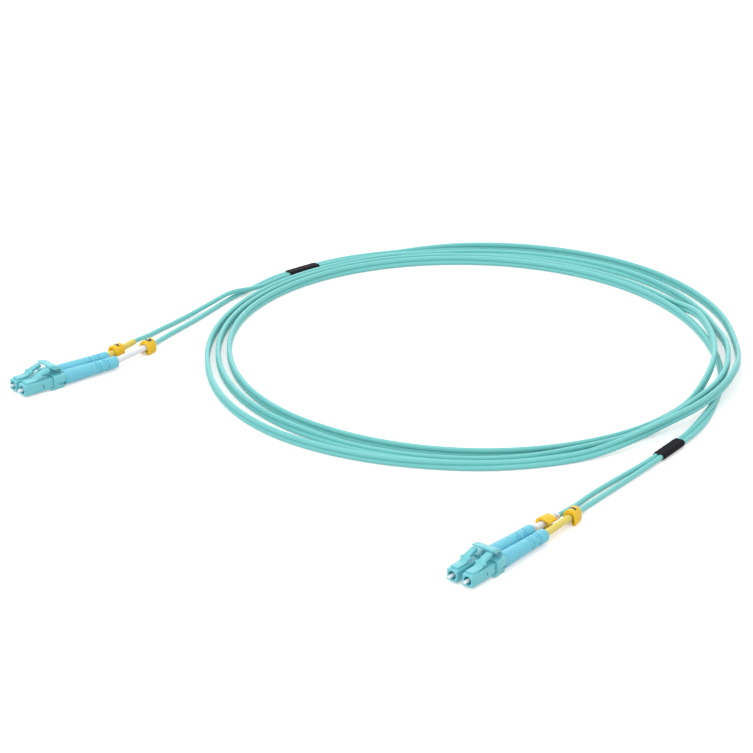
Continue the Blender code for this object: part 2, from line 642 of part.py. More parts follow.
def join_smoothly(start, start_way, end, end_way, steps):
    """Points after the start and up to the end, on a cubic that keeps both directions."""
    reach = (end - start).length
    points = []
    for step in range(1, steps + 1):
        t = step / steps
        points.append(start * (2 * t ** 3 - 3 * t ** 2 + 1) + start_way * reach * (t ** 3 - 2 * t ** 2 + t)
                      + end * (3 * t ** 2 - 2 * t ** 3) + end_way * reach * (t ** 3 - t ** 2))
    return points


def shrink_frame(shrink):
    """Centre of a heat-shrink and the way from it to the coil, seen from the coil's centre."""
    height = STRAND_DIAMETER / 2 + SHRINK_CLEARANCE + SHRINK_WALL + CORD_CLEARANCE
    return Vector((shrink[0], shrink[1], height)), Vector((math.cos(shrink[2]), math.sin(shrink[2]), 0.0))


def flatten_out(start, start_way, end, end_way, leans, steps):
    """A smooth run of cord whose lean changes evenly while its lower strand comes to the table."""
    extra = (start.z - resting_height(leans[0]), end.z - resting_height(leans[1]))
    run = []
    for step, point in enumerate(join_smoothly(start, start_way, end, end_way, steps), 1):
        share = ease(step / steps)
        lean = leans[0] + (leans[1] - leans[0]) * share
        point.z = resting_height(lean) + extra[0] * (1.0 - share) + extra[1] * share
        run.append((point, lean))
    return run


def cord_route():
    """Centre points and leans of the whole two-strand cord, from heat-shrink a to heat-shrink b."""
    knots = coil_knots()
    spacing = 360 / POINTS_PER_TURN
    count = int((COIL_END - COIL_START) / spacing) + 1
    turns = [coil_point(COIL_START + spacing * step, knots) for step in range(count)]
    straight = SHRINK_LENGTH / 2 + STRAND_PITCH
    flat = math.pi / 2
    centre, way = shrink_frame(SHRINK_A)
    into_coil = (coil_point(COIL_START + 1, knots)[0] - turns[0][0]).normalized()
    lead = [(centre, flat), (centre + way * straight, flat)]
    lead += flatten_out(lead[1][0], way, turns[0][0], into_coil, (flat, turns[0][1]), LEAD_STEPS)
    centre, way = shrink_frame(SHRINK_B)
    out_of_coil = (turns[-1][0] - coil_point(COIL_END - 1, knots)[0]).normalized()
    tail = flatten_out(turns[-1][0], out_of_coil, centre + way * straight, -way, (turns[-1][1], -flat), TAIL_STEPS)
    return lead[:-1] + turns + tail + [(centre, -flat)]


def strand_lines(route):
    """Centre lines of the two strands, for measuring the cord's gap to itself."""
    lines = ([], [])
    for index, (point, lean) in enumerate(route):
        ahead = route[min(index + 1, len(route) - 1)][0] - route[max(index - 1, 0)][0]
        out = Vector((ahead.y, -ahead.x, 0.0)).normalized()
        offset = (UP * math.cos(lean) - out * math.sin(lean)) * STRAND_PITCH / 2
        lines[0].append(point + offset)
        lines[1].append(point - offset)
    return lines


def least_self_gap(route, samples=4):
    """Smallest clear distance between two turns of the cord, measured on points along its strands."""
    dense = []
    for line in strand_lines(route):
        for index, (a, b) in enumerate(zip(line, line[1:])):
            dense += [(index + s / samples, a.lerp(b, s / samples)) for s in range(samples)]
    apart = POINTS_PER_TURN / 3
    least = min((p - q).length for i, p in dense for j, q in dense if j - i > apart)
    return least - STRAND_DIAMETER


def cord_section():
    """Outline of the two-strand cord: two round lobes joined by a thin web."""
    radius = STRAND_DIAMETER / 2
    arc = [math.radians(angle) for angle in (150, 100, 50, 0, -50, -100, -150)]
    lobe = [(STRAND_PITCH / 2 + radius * math.cos(a), radius * math.sin(a)) for a in arc]
    outline = lobe + [(-x, -y) for x, y in lobe]
    curve = bpy.data.curves.new("cord_section", "CURVE")
    curve.dimensions = "2D"
    spline = curve.splines.new("POLY")
    spline.points.add(len(outline) - 1)
    for point, (x, y) in zip(spline.points, outline):
        point.co = (y, x, 0.0, 1.0)
    spline.use_cyclic_u = True
    section = bpy.data.objects.new("cord_section", curve)
    section.hide_render = True
    bpy.context.collection.objects.link(section)
    return section


def shrink_mesh():
    """Heat-shrink tube: an oval tube round both strands, along Y."""
    half_wide = (STRAND_PITCH + STRAND_DIAMETER) / 2 + SHRINK_CLEARANCE
    half_high = STRAND_DIAMETER / 2 + SHRINK_CLEARANCE
    steps = 20
    bm = bmesh.new()
    rings = []
    for wall in (SHRINK_WALL, 0.0):
        for along in (-SHRINK_LENGTH / 2, SHRINK_LENGTH / 2):
            ring = []
            for step in range(steps):
                angle = FULL_TURN * step / steps
                shift = (half_wide - half_high) * (1 if step < 5 or step >= 15 else -1)
                ring.append(bm.verts.new((shift + (half_high + wall) * math.cos(angle), along,
                                          (half_high + wall) * math.sin(angle))))
            rings.append(ring)
    for a, b in ((0, 1), (1, 3), (3, 2), (2, 0)):
        for step in range(steps):
            after = (step + 1) % steps
            bm.faces.new((rings[a][step], rings[a][after], rings[b][after], rings[b][step]))
    return mesh_from(bm, "shrink")


# ---- Legs: straight through the boot and the sleeve, then down to the table and to the heat-shrink ----

# Each leg: connector, side (1 is nearer the viewer), sleeve's bend in degrees, sleeve's length,
# marker's distance along the sleeve, marker's roll in degrees, the route from the coil's centre in
# millimetres, and the side of the heat-shrink that it enters.
LEGS = {
    "a1": ("a", 1, 3.35, 21.0, 18.9, 0.0, ((36.6, -154.9, 1.1), (39.6, -150.6, 1.03), (48.0, -139.2, 1.03)), -1),
    "a2": ("a", -1, -0.5, 15.2, 8.2, -78.0, ((34.6, -151.6, 1.2), (39.6, -143.9, 1.03), (47.0, -134.2, 1.03)), 1),
    "b1": ("b", 1, 12.9, 19.4, 19.6, 0.0, ((-128.2, 3.9, 1.1), (-113.9, 28.5, 1.03), (-101.1, 52.3, 1.03),
                                         (-92.6, 64.6, 1.03)), 1),
    "b2": ("b", -1, 17.5, 17.8, 6.6, 0.0, ((-132.8, 9.7, 1.1), (-118.0, 30.9, 1.4), (-109.4, 42.3, 2.5),
                                          (-101.1, 52.3, 3.6), (-90.1, 62.8, 2.1)), -1),
}
SLEEVE_PIVOT = BOOT_LENGTH - 2.0 * MM   # where a leg bends, from the boot's front
BEND_REACH = 1.6 * MM              # of a leg's bend before and after the pivot
SLEEVE_GAP = 0.65 * MM             # between the boot's end and the sleeve
LEG_SPREAD = STRAND_DIAMETER + 0.14 * MM   # between the two legs in a heat-shrink
CONNECTOR_YAW = {"a": math.radians(5.6), "b": math.radians(-5.46)}
PLUG_YAW = {"a2": math.radians(-1.1)}   # a plug that sits askew in its clip, by the play it has there
BOOT_ROLL = {"a1": 32.0, "a2": 81.0, "b1": 1.0, "b2": 57.0}   # degrees that each boot is turned on its plug


def connector_pose(end):
    """Pose of a connector's own frame: below the middle of its front face, Y running back."""
    side = 1 if end == "a" else -1
    return Matrix.Translation((side * CONNECTOR_SPREAD / 2, -FRAME_SHIFT, 0)) @ Matrix.Rotation(CONNECTOR_YAW[end], 4, "Z")


def plug_pose(name):
    """Pose of a plug: on its ferrule axis, at its front face."""
    end, side = LEGS[name][:2]
    middle = (clip_start() + clip_end()) / 2
    askew = Matrix.Rotation(PLUG_YAW.get(name, 0.0), 4, "Z") @ Matrix.Translation((0, -middle, 0))
    return connector_pose(end) @ Matrix.Translation((side * CHANNEL_PITCH / 2, middle, AXIS_HEIGHT)) @ askew


def sleeve_pose(name):
    """Pose of a leg's straight run behind the boot: at the leg's bend, Y along the sleeve."""
    pivot = boot_start() + SLEEVE_PIVOT
    return plug_pose(name) @ Matrix.Translation((0, pivot, 0)) @ Matrix.Rotation(math.radians(LEGS[name][2]), 4, "Z")


def sleeve_front(name):
    """Distance from the leg's bend to the sleeve's front end."""
    return BOOT_LENGTH - SLEEVE_PIVOT + SLEEVE_GAP


def coil_pose():
    """Pose of the coil's frame: its centre on the table, turned to its zero station."""
    return Matrix.Translation((COIL_CENTRE[0], COIL_CENTRE[1] - FRAME_SHIFT, 0)) @ Matrix.Rotation(COIL_DATUM, 4, "Z")


def leg_points(name):
    """Centre points of a leg from its crimp to the middle of its heat-shrink."""
    end, side, bend, length, _, _, route, shrink_side = LEGS[name]
    plug, sleeve, coil = plug_pose(name), sleeve_pose(name), coil_pose()
    pivot = boot_start() + SLEEVE_PIVOT
    points = [plug @ Vector((0, jacket_start(), 0)), plug @ Vector((0, pivot - BEND_REACH, 0))]
    bend_end = sleeve @ Vector((0, BEND_REACH, 0))
    corner = sleeve @ Vector((0, 0, 0))
    for share in (0.33, 0.67):
        points.append(points[1].lerp(corner, share).lerp(corner.lerp(bend_end, share), share))
    leave = sleeve @ Vector((0, sleeve_front(name) + length * MM + STRAND_DIAMETER / 2, 0))
    points += [bend_end, leave]
    centre, way = shrink_frame(SHRINK_A if end == "a" else SHRINK_B)
    across = Vector((-way.y, way.x, 0)) * shrink_side * LEG_SPREAD / 2
    stops = [leave] + [coil @ Vector((x * MM, y * MM, z * MM)) for x, y, z in route]
    stops.append(coil @ (centre + across - way * (SHRINK_LENGTH / 2 + STRAND_DIAMETER)))
    ways = [(sleeve.to_3x3() @ Vector((0, 1, 0)))]
    ways += [(after - before).normalized() for before, after in zip(stops, stops[2:])]
    ways.append(coil.to_3x3() @ way)
    for start, start_way, stop, stop_way in zip(stops, ways, stops[1:], ways[1:]):
        points += join_smoothly(start, start_way, stop, stop_way, LEG_STEPS)
    points.append(coil @ (centre + across - way * FACE_GAP))
    for point in points:
        point.z = max(point.z, STRAND_DIAMETER / 2 + CORD_CLEARANCE)
    return points


def build_coil(material):
    """Add the coiled cord and print its least gap to itself."""
    route = cord_route()
    print(f"coil: least gap to itself {least_self_gap(route) / MM:.2f} mm")
    section = cord_section()
    pose = coil_pose()
    mesh = tube_mesh("coil", [point for point, _ in route], 0.0, section=section, leans=[-lean for _, lean in route])
    bpy.data.objects.remove(section, do_unlink=True)
    return place("coil", mesh, material, pose)


def build_connector(end, materials):
    """Add a connector's clip, trigger and heat-shrink."""
    pose = connector_pose(end)
    place(f"{end}_clip", clip_mesh(), materials["shell"], pose)
    place(f"{end}_trigger", trigger_mesh(), materials["shell"], pose @ Matrix.Translation((0, *trigger_hinge())))
    centre, way = shrink_frame(SHRINK_A if end == "a" else SHRINK_B)
    turn = math.atan2(way.y, way.x) - math.pi / 2
    place(f"{end}_shrink", shrink_mesh(), materials["shrink"],
          coil_pose() @ Matrix.Translation(centre) @ Matrix.Rotation(turn, 4, "Z"))


def build_plug(name, meshes, materials):
    """Add one plug with its boot, and its leg with sleeve and marker."""
    pose = plug_pose(name)
    seats = {
        "latch": pose @ Matrix.Translation((0, *arm_hinge())),
        "boot": pose @ Matrix.Rotation(math.radians(-BOOT_ROLL[name]), 4, "Y"),
    }
    for piece, mesh in meshes.items():
        place(f"{name}_{piece}", mesh, materials[piece], seats.get(piece, pose))
    _, _, _, length, marker_at, roll, _, _ = LEGS[name]
    run = sleeve_pose(name) @ Matrix.Translation((0, sleeve_front(name), 0))
    place(f"{name}_sleeve", sleeve_mesh(length * MM), materials[f"{name}_sleeve"], run)
    turn = Matrix.Rotation(math.radians(roll), 4, "Y")
    place(f"{name}_marker", marker_mesh(), materials["marker"], run @ Matrix.Translation((0, marker_at * MM, 0)) @ turn)
    leg = tube_mesh(f"{name}_leg", leg_points(name), STRAND_DIAMETER)
    place(f"{name}_leg", leg, materials["cord"])


def main():
    """Build the whole patch cord."""
    clear_scene()
    shell = make_material("aqua_plastic", (0.19, 0.62, 0.66), 0.4)
    steel = make_material("steel", (0.6, 0.6, 0.6), 0.3, 1.0)
    white = make_material("white_sleeve", (0.85, 0.85, 0.83), 0.45)
    yellow = make_material("yellow_sleeve", (0.85, 0.72, 0.16), 0.45)
    materials = {
        "shell": shell,
        "housing": shell,
        "latch": shell,
        "ferrule": make_material("zirconia", (0.88, 0.87, 0.84), 0.2),
        "flange": make_material("nickel_brass", (0.62, 0.58, 0.5), 0.3, 1.0),
        "spring": steel,
        "stop": steel,
        "fibre": make_material("fibre_buffer", (0.8, 0.8, 0.78), 0.5),
        "crimp": make_material("crimp_metal", (0.7, 0.68, 0.62), 0.35, 1.0),
        "boot": make_material("blue_boot", (0.15, 0.56, 0.77), 0.45),
        "cord": make_material("aqua_jacket", (0.17, 0.58, 0.6), 0.5),
        "shrink": make_material("black_shrink", (0.018, 0.018, 0.025), 0.45),
        "marker": make_material("orange_marker", (0.92, 0.5, 0.03), 0.4),
        "a1_sleeve": yellow,
        "a2_sleeve": white,
        "b1_sleeve": white,
        "b2_sleeve": yellow,
    }
    meshes = {
        "housing": housing_mesh(),
        "latch": arm_mesh(),
        "ferrule": ferrule_mesh(),
        "flange": flange_mesh(),
        "spring": spring_mesh(),
        "stop": stop_mesh(),
        "fibre": fibre_mesh(),
        "crimp": crimp_mesh(),
        "boot": boot_mesh(),
    }
    for end in ("a", "b"):
        build_connector(end, materials)
    for name in LEGS:
        build_plug(name, meshes, materials)
    build_coil(materials["cord"])


main()
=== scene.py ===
"""Look of a duplex fibre optic patch cord that lies coiled on a table.

Lengths are in metres in the part's own frame: X from connector b to connector a, Y from the plugs'
faces toward the coil, Z up. A piece's own outline is drawn in millimetres and scaled by MM.
"""
import json
import math

import bmesh
import bpy
from mathutils import Matrix, Quaternion, Vector


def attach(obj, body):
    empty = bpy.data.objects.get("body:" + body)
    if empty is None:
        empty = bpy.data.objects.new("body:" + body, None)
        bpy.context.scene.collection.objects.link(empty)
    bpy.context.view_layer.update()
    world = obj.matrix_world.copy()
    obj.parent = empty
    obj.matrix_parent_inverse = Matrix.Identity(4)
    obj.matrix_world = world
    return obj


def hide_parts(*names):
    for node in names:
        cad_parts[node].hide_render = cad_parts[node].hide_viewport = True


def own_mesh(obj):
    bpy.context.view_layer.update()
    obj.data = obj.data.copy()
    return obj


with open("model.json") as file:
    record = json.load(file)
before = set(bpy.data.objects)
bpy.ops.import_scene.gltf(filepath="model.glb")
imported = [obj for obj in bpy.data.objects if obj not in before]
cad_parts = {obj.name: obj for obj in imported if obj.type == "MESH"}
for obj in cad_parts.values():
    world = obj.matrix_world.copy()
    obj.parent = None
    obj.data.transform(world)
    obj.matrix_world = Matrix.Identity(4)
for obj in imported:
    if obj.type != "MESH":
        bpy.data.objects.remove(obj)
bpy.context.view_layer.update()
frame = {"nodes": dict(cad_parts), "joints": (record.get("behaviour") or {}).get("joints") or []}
scene = bpy.context.scene
MM = 0.001
UP = Vector((0.0, 0.0, 1.0))
FULL_TURN = 2.0 * math.pi
QUARTER_TURN = math.pi / 2
PURE_WHITE = (1.0, 1.0, 1.0, 1.0)

# ---- The view: a long lens in front of connector a, looking down at the whole cord ----
# The table and the room are plain white. Soft light comes from all sides and more of it from above.
CAMERA_PLACE = Vector((0.6841, -0.6560, 0.4368))
CAMERA_BEARING = math.radians(43.70)
CAMERA_PITCH = math.radians(22.92)
CAMERA_ROLL = math.radians(0.32)
LENS = 133.2
SENSOR = 36.0
VIEW_REACH = 20.0
ROOM_LIGHT = 0.88
TABLE_HALF = 6.0
TABLE_LIFT = 0.35
TABLE_SHADE = (0.93, 0.885, 0.87, 1.0)
TABLE_BOUNCE = 0.78
LAMP_AIM = Vector((0.0, 0.1, 0.0))
COOL_WHITE = (0.86, 0.95, 1.0)


def placed(name, data):
    """Put a mesh, curve, lamp or camera into the scene as an object."""
    holder = bpy.data.objects.new(name, data)
    scene.collection.objects.link(holder)
    return holder


def add_camera():
    """Set up the photograph's camera."""
    camera = bpy.data.cameras.new("camera")
    camera.lens = LENS
    camera.sensor_width = SENSOR
    camera.sensor_fit = "HORIZONTAL"
    camera.clip_end = VIEW_REACH
    holder = placed("camera", camera)
    level = math.cos(CAMERA_PITCH)
    way = Vector((-math.sin(CAMERA_BEARING) * level, math.cos(CAMERA_BEARING) * level,
                  -math.sin(CAMERA_PITCH)))
    turn = way.to_track_quat("-Z", "Y") @ Quaternion((0.0, 0.0, 1.0), CAMERA_ROLL)
    holder.matrix_world = Matrix.LocRotScale(CAMERA_PLACE, turn, None)
    scene.camera = holder


def nodes_of(holder):
    """Empty a node tree and return a maker of nodes for it."""
    holder.use_nodes = True
    tree = holder.node_tree
    tree.nodes.clear()

    def node(kind, inputs=None, **settings):
        made = tree.nodes.new(f"ShaderNode{kind}")
        for key, value in settings.items():
            setattr(made, key, value)
        for key, value in (inputs or {}).items():
            if isinstance(value, bpy.types.NodeSocket):
                tree.links.new(value, made.inputs[key])
            else:
                made.inputs[key].default_value = value
        return made

    return node


def add_room():
    """White room light, seen as plain white by the camera, in reflections and through clear parts."""
    world = bpy.data.worlds.new("room")
    scene.world = world
    node = nodes_of(world)
    path = node("LightPath")
    clear = node("Math", {0: path.outputs["Is Camera Ray"], 1: path.outputs["Is Transmission Ray"]},
                 operation="MAXIMUM")
    seen = node("Math", {0: clear.outputs[0], 1: path.outputs["Is Glossy Ray"]}, operation="MAXIMUM")
    lit = node("Background", {"Color": PURE_WHITE, "Strength": ROOM_LIGHT})
    white = node("Background", {"Color": PURE_WHITE, "Strength": 1.0})
    mix = node("MixShader", {0: seen.outputs[0], 1: lit.outputs[0], 2: white.outputs[0]})
    node("OutputWorld", {"Surface": mix.outputs[0]})


def add_table():
    """White table that keeps the cord's soft contact shadows, and is plain white in reflections."""
    bm = bmesh.new()
    bmesh.ops.create_grid(bm, x_segments=1, y_segments=1, size=TABLE_HALF)
    mesh = bpy.data.meshes.new("table")
    bm.to_mesh(mesh)
    bm.free()
    table = placed("table", mesh)
    material = bpy.data.materials.new("table_white")
    node = nodes_of(material)
    path = node("LightPath")
    dull = node("BsdfDiffuse", {"Color": (TABLE_BOUNCE, TABLE_BOUNCE, TABLE_BOUNCE, 1.0)})
    mirrored = node("Emission", {"Color": PURE_WHITE, "Strength": 1.0})
    unseen = node("MixShader", {0: path.outputs["Is Glossy Ray"], 1: dull.outputs[0], 2: mirrored.outputs[0]})
    shaded = node("BsdfDiffuse", {"Color": TABLE_SHADE})
    glow = node("Emission", {"Color": PURE_WHITE, "Strength": TABLE_LIFT})
    white = node("AddShader", {0: shaded.outputs[0], 1: glow.outputs[0]})
    mix = node("MixShader", {0: path.outputs["Is Camera Ray"], 1: unseen.outputs[0], 2: white.outputs[0]})
    node("OutputMaterial", {"Surface": mix.outputs[0]})
    mesh.materials.append(material)


def add_lamp(name, place, size, power, colour):
    """A square soft lamp that faces the cord."""
    lamp = bpy.data.lights.new(name, "AREA")
    lamp.size = size
    lamp.energy = power
    lamp.color = colour
    holder = placed(name, lamp)
    turn = (LAMP_AIM - Vector(place)).to_track_quat("-Z", "Y")
    holder.matrix_world = Matrix.LocRotScale(Vector(place), turn, None)


add_camera()
add_room()
add_table()
add_lamp("overhead", (-0.3, 0.3, 1.6), 1.2, 4.0, COOL_WHITE)
add_lamp("behind", (-1.25, 1.4, 0.75), 1.3, 5.5, COOL_WHITE)
add_lamp("front_left", (-0.2, -1.4, 1.2), 0.9, 6.5, PURE_WHITE[:3])
scene.view_settings.view_transform = "Standard"

# ---- The duplex cord: two 2.0 mm strands in one aqua jacket, joined by a thin web ----
# Extruded as a figure eight. It leaves heat-shrink a, makes nearly three and a half turns, mostly
# standing on one strand, crosses over its own front tail on each turn, and ends in heat-shrink b.
# Stations are degrees round the coil's centre; a lean of a quarter turn lays the cord flat.
STRAND = 2.0 * MM
STRAND_PITCH = 2.05 * MM
WEB_ANGLE = math.radians(163.0)
LOBE_POINTS = 17
TABLE_CLEARANCE = 0.03 * MM
SHRINK_LENGTH = 16.4 * MM
SHRINK_WALL = 0.36 * MM
SHRINK_CLEARANCE = 0.14 * MM
COIL_CENTRE = Vector((-23.2 * MM, 139.88 * MM, 0.0))
COIL_DATUM = math.radians(43.7)
COIL_POSE = Matrix.Translation(COIL_CENTRE) @ Matrix.Rotation(COIL_DATUM, 4, "Z")
COIL_STEP = 3
COIL_START, COIL_END = -30, 1185
LEAD_STEPS, TAIL_STEPS = 16, 12
FLAT = QUARTER_TURN
CROSSING_LIFT = 4.55 * MM
STATIONS = (0, 20, 50, 75, 100, 125, 160, 190, 230, 268, 300, 330)
TURN_RADII = (
    (98.8, 96.3, 96.5, 97.2, 98.1, 98.7, 98.9, 99.6, 105.2, 109.2, 108.0, 103.0),
    (99.4, 99.0, 99.2, 100.2, 101.6, 101.9, 102.2, 104.4, 111.4, 115.2, 111.1, 109.2),
    (104.4, 105.3, 109.0, 109.4, 106.1, 104.6, 105.1, 109.0, 119.9, 120.4, 116.0, 112.3),
    (109.6, 112.3, 117.0, 116.9, 112.9, 111.1),
)
TAIL_RADII = ((-40, 115.7), (-30, 110.6), (-17, 104.6))
LIFTS = ((320, 343, 370, 392), (658, 686, 709, 733), (1006, 1034, 1057, 1080))
LEANS = (
    (-60, -59, -49, -30, 90.0), (75, 95, 113, 140, 24.0), (580, 608, 636, 660, 62.0),
    (752, 792, 818, 836, 60.0), (975, 998, 1008, 1030, 50.0), (1160, 1192, 1220, 1221, 90.0),
)
SHRINKS = {
    "a": (Vector((72.3 * MM, -103.65 * MM, 0.0)), math.radians(55.5)),
    "b": (Vector((-71.5 * MM, 85.3 * MM, 0.0)), math.radians(40.5)),
}
SHARP_ANGLE = math.radians(42.0)
FLOW_SHARE = 0.16
GLOSS_LESS, GLOSS_MORE = 0.09, 0.07
SKIN_DEPTH = 0.1 * MM
GLOW_DEPTH = 1.0 * MM
PLASTIC_IOR = 1.48
JACKET_AQUA = (0.195, 0.625, 0.610)


def ease(share):
    """Smooth step from 0 to 1."""
    share = min(max(share, 0.0), 1.0)
    return share * share * (3.0 - 2.0 * share)


def swell(station, rise_start, rise_end, fall_start, fall_end):
    """1 between the rise's end and the fall's start, easing to 0 outside."""
    rise = ease((station - rise_start) / (rise_end - rise_start))
    fall = ease((fall_end - station) / (fall_end - fall_start))
    return rise * fall


def coil_knots():
    """Stations, counted on through the turns, with the coil's radius at each."""
    knots = [(station, radius * MM) for station, radius in TAIL_RADII]
    for turn, radii in enumerate(TURN_RADII):
        knots += [(station + 360 * turn, radius * MM) for station, radius in zip(STATIONS, radii)]
    return knots


def smooth_value(knots, at):
    """Value at a place, by a smooth cubic through (place, value) knots."""
    last = len(knots) - 2
    index = max(i for i in range(last + 1) if knots[i][0] <= at or i == 0)
    slopes = []
    for i in (index, index + 1):
        before, after = knots[max(i - 1, 0)], knots[min(i + 1, last + 1)]
        slopes.append((after[1] - before[1]) / (after[0] - before[0]))
    (start, a), (end, b) = knots[index], knots[index + 1]
    share = (at - start) / (end - start)
    bend_in, bend_out = (slope * (end - start) for slope in slopes)
    return (a + share * bend_in + share ** 2 * (3 * (b - a) - 2 * bend_in - bend_out)
            + share ** 3 * (2 * (a - b) + bend_in + bend_out))


def resting_height(lean):
    """Height of the cord's middle where its lower strand lies on the table."""
    return STRAND / 2 + TABLE_CLEARANCE + STRAND_PITCH / 2 * math.cos(lean)


def coil_point(station, knots):
    """Middle of the cord at a station, seen from the coil's centre, and its lean."""
    radius = smooth_value(knots, station)
    lean = sum(swell(station, *row[:4]) * math.radians(row[4]) for row in LEANS)
    lean = -lean if math.sin(math.radians(station)) > 0.0 else lean
    lift = CROSSING_LIFT * sum(swell(station, *row) for row in LIFTS)
    angle = math.radians(station)
    return Vector((radius * math.cos(angle), radius * math.sin(angle), resting_height(lean) + lift)), lean


def join_smoothly(start, start_way, end, end_way, steps):
    """Points after the start and up to the end, on a cubic that keeps both directions."""
    reach = (end - start).length
    points = []
    for step in range(1, steps + 1):
        t = step / steps
        points.append(start * (2 * t ** 3 - 3 * t ** 2 + 1) + start_way * reach * (t ** 3 - 2 * t ** 2 + t)
                      + end * (3 * t ** 2 - 2 * t ** 3) + end_way * reach * (t ** 3 - t ** 2))
    return points


def shrink_frame(end):
    """Centre of a heat-shrink and the way from it to the coil, seen from the coil's centre."""
    place, bearing = SHRINKS[end]
    height = STRAND / 2 + SHRINK_CLEARANCE + SHRINK_WALL + TABLE_CLEARANCE
    return place + UP * height, Vector((math.cos(bearing), math.sin(bearing), 0.0))


def flatten_out(start, start_way, end, end_way, leans, steps):
    """A smooth run of cord whose lean changes evenly while its lower strand comes to the table."""
    extra = (start.z - resting_height(leans[0]), end.z - resting_height(leans[1]))
    run = []
    for step, point in enumerate(join_smoothly(start, start_way, end, end_way, steps), 1):
        share = ease(step / steps)
        lean = leans[0] + (leans[1] - leans[0]) * share
        point.z = resting_height(lean) + extra[0] * (1.0 - share) + extra[1] * share
        run.append((point, lean))
    return run


def cord_route():
    """Middle points and leans of the whole duplex cord, from heat-shrink a to heat-shrink b."""
    knots = coil_knots()
    turns = [coil_point(station, knots) for station in range(COIL_START, COIL_END + 1, COIL_STEP)]
    straight = SHRINK_LENGTH / 2 + STRAND_PITCH
    centre, way = shrink_frame("a")
    into_coil = (coil_point(COIL_START + 1, knots)[0] - turns[0][0]).normalized()
    lead = [(centre, FLAT), (centre + way * straight, FLAT)]
    lead += flatten_out(lead[1][0], way, turns[0][0], into_coil, (FLAT, turns[0][1]), LEAD_STEPS)
    centre, way = shrink_frame("b")
    out_of_coil = (turns[-1][0] - coil_point(COIL_END - 1, knots)[0]).normalized()
    tail = flatten_out(turns[-1][0], out_of_coil, centre + way * straight, -way, (turns[-1][1], -FLAT),
                       TAIL_STEPS)
    return [(COIL_POSE @ point, lean) for point, lean in lead[:-1] + turns + tail + [(centre, -FLAT)]]


def join_rings(bm, rings):
    """Faces from each ring of corners to the next, and over the ends of an open tube."""
    for ring, following in zip(rings, rings[1:]):
        for k, corner in enumerate(ring):
            after = (k + 1) % len(ring)
            bm.faces.new((corner, following[k], following[after], ring[after]))
    if rings[0] is not rings[-1]:
        bm.faces.new(rings[0])
        bm.faces.new(rings[-1][::-1])


def sweep(name, route, outline):
    """Skin an outline of (side, up) points along a route of (point, lean), with closed ends.

    Each point keeps its place across the strand and the length along it, for the jacket's finish.
    """
    bm = bmesh.new()
    grain = bm.verts.layers.float_vector.new("grain")
    rings = []
    travelled = 0.0
    for index, (point, lean) in enumerate(route):
        before, after = route[max(index - 1, 0)][0], route[min(index + 1, len(route) - 1)][0]
        ahead = (after - before).normalized()
        side = ahead.cross(UP).normalized()
        up = side.cross(ahead)
        across = side * math.cos(lean) + up * math.sin(lean)
        stand = up * math.cos(lean) - side * math.sin(lean)
        travelled += (point - route[max(index - 1, 0)][0]).length
        ring = []
        for x, y in outline:
            corner = bm.verts.new(point + across * x + stand * y)
            corner[grain] = (x, y, travelled)
            ring.append(corner)
        rings.append(ring)
    join_rings(bm, rings)
    return finished_mesh(bm, name)


def finished_mesh(bm, name):
    """Turn a bmesh into a smooth mesh with its faces outward and its corners sharp."""
    bmesh.ops.recalc_face_normals(bm, faces=bm.faces)
    mesh = bpy.data.meshes.new(name)
    bm.to_mesh(mesh)
    bm.free()
    mesh.shade_smooth()
    mesh.set_sharp_from_angle(angle=SHARP_ANGLE)
    return mesh


def show(name, mesh, material, body, stands_for=(), pose=None):
    """Add a piece to the scene, give it to its body and let it stand for its solids."""
    mesh.materials.clear()
    mesh.materials.append(material)
    piece = placed(name, mesh)
    if pose is not None:
        piece.matrix_world = pose
        bpy.context.view_layer.update()
    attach(piece, body)
    if stands_for:
        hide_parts(*stands_for)
    return piece


def tinted(colour, factor):
    """A colour made lighter or darker."""
    return tuple(min(channel * factor, 1.0) for channel in colour) + (1.0,)


def moulded(name, colour, roughness, grain_scale=900.0, bump=0.04, vary=0.05, sheen=0.5, where=None,
            stretch=(1, 1, 1), depth=0.0):
    """Plastic with faint flow marks, an uneven gloss, a fine skin and some depth to light.

    Where names a mesh attribute that lays out the marks, and stretch draws them out.
    """
    material = bpy.data.materials.new(name)
    node = nodes_of(material)
    if where:
        place = node("Attribute", attribute_name=where).outputs["Vector"]
    else:
        place = node("TexCoord").outputs["Object"]
    place = node("Mapping", {"Vector": place, "Scale": stretch}).outputs["Vector"]
    flow = node("TexNoise", {"Vector": place, "Scale": grain_scale * FLOW_SHARE, "Detail": 3.0})
    skin = node("TexNoise", {"Vector": place, "Scale": grain_scale, "Detail": 5.0, "Roughness": 0.6})
    shade = node("Mix", {"Factor": flow.outputs["Fac"], 6: tinted(colour, 1.0 - vary),
                         7: tinted(colour, 1.0 + vary)}, data_type="RGBA")
    gloss = node("MapRange", {"Value": skin.outputs["Fac"], "From Min": 0.25, "From Max": 0.75,
                              "To Min": roughness - GLOSS_MORE, "To Max": roughness + GLOSS_LESS})
    rise = node("Bump", {"Height": skin.outputs["Fac"], "Strength": bump, "Distance": SKIN_DEPTH})
    shader = node("BsdfPrincipled", {
        "Base Color": shade.outputs[2], "Roughness": gloss.outputs[0], "Normal": rise.outputs[0],
        "IOR": PLASTIC_IOR, "Specular IOR Level": sheen, "Subsurface Weight": depth,
        "Subsurface Radius": colour, "Subsurface Scale": GLOW_DEPTH})
    node("OutputMaterial", {"Surface": shader.outputs[0]})
    return material


def duplex_outline():
    """Figure eight: two round lobes, one above the other, with a thin web between."""
    angles = [WEB_ANGLE * (1 - 2 * step / (LOBE_POINTS - 1)) for step in range(LOBE_POINTS)]
    upper = [(STRAND / 2 * math.sin(a), STRAND_PITCH / 2 + STRAND / 2 * math.cos(a)) for a in angles]
    return upper + [(-x, -y) for x, y in upper]


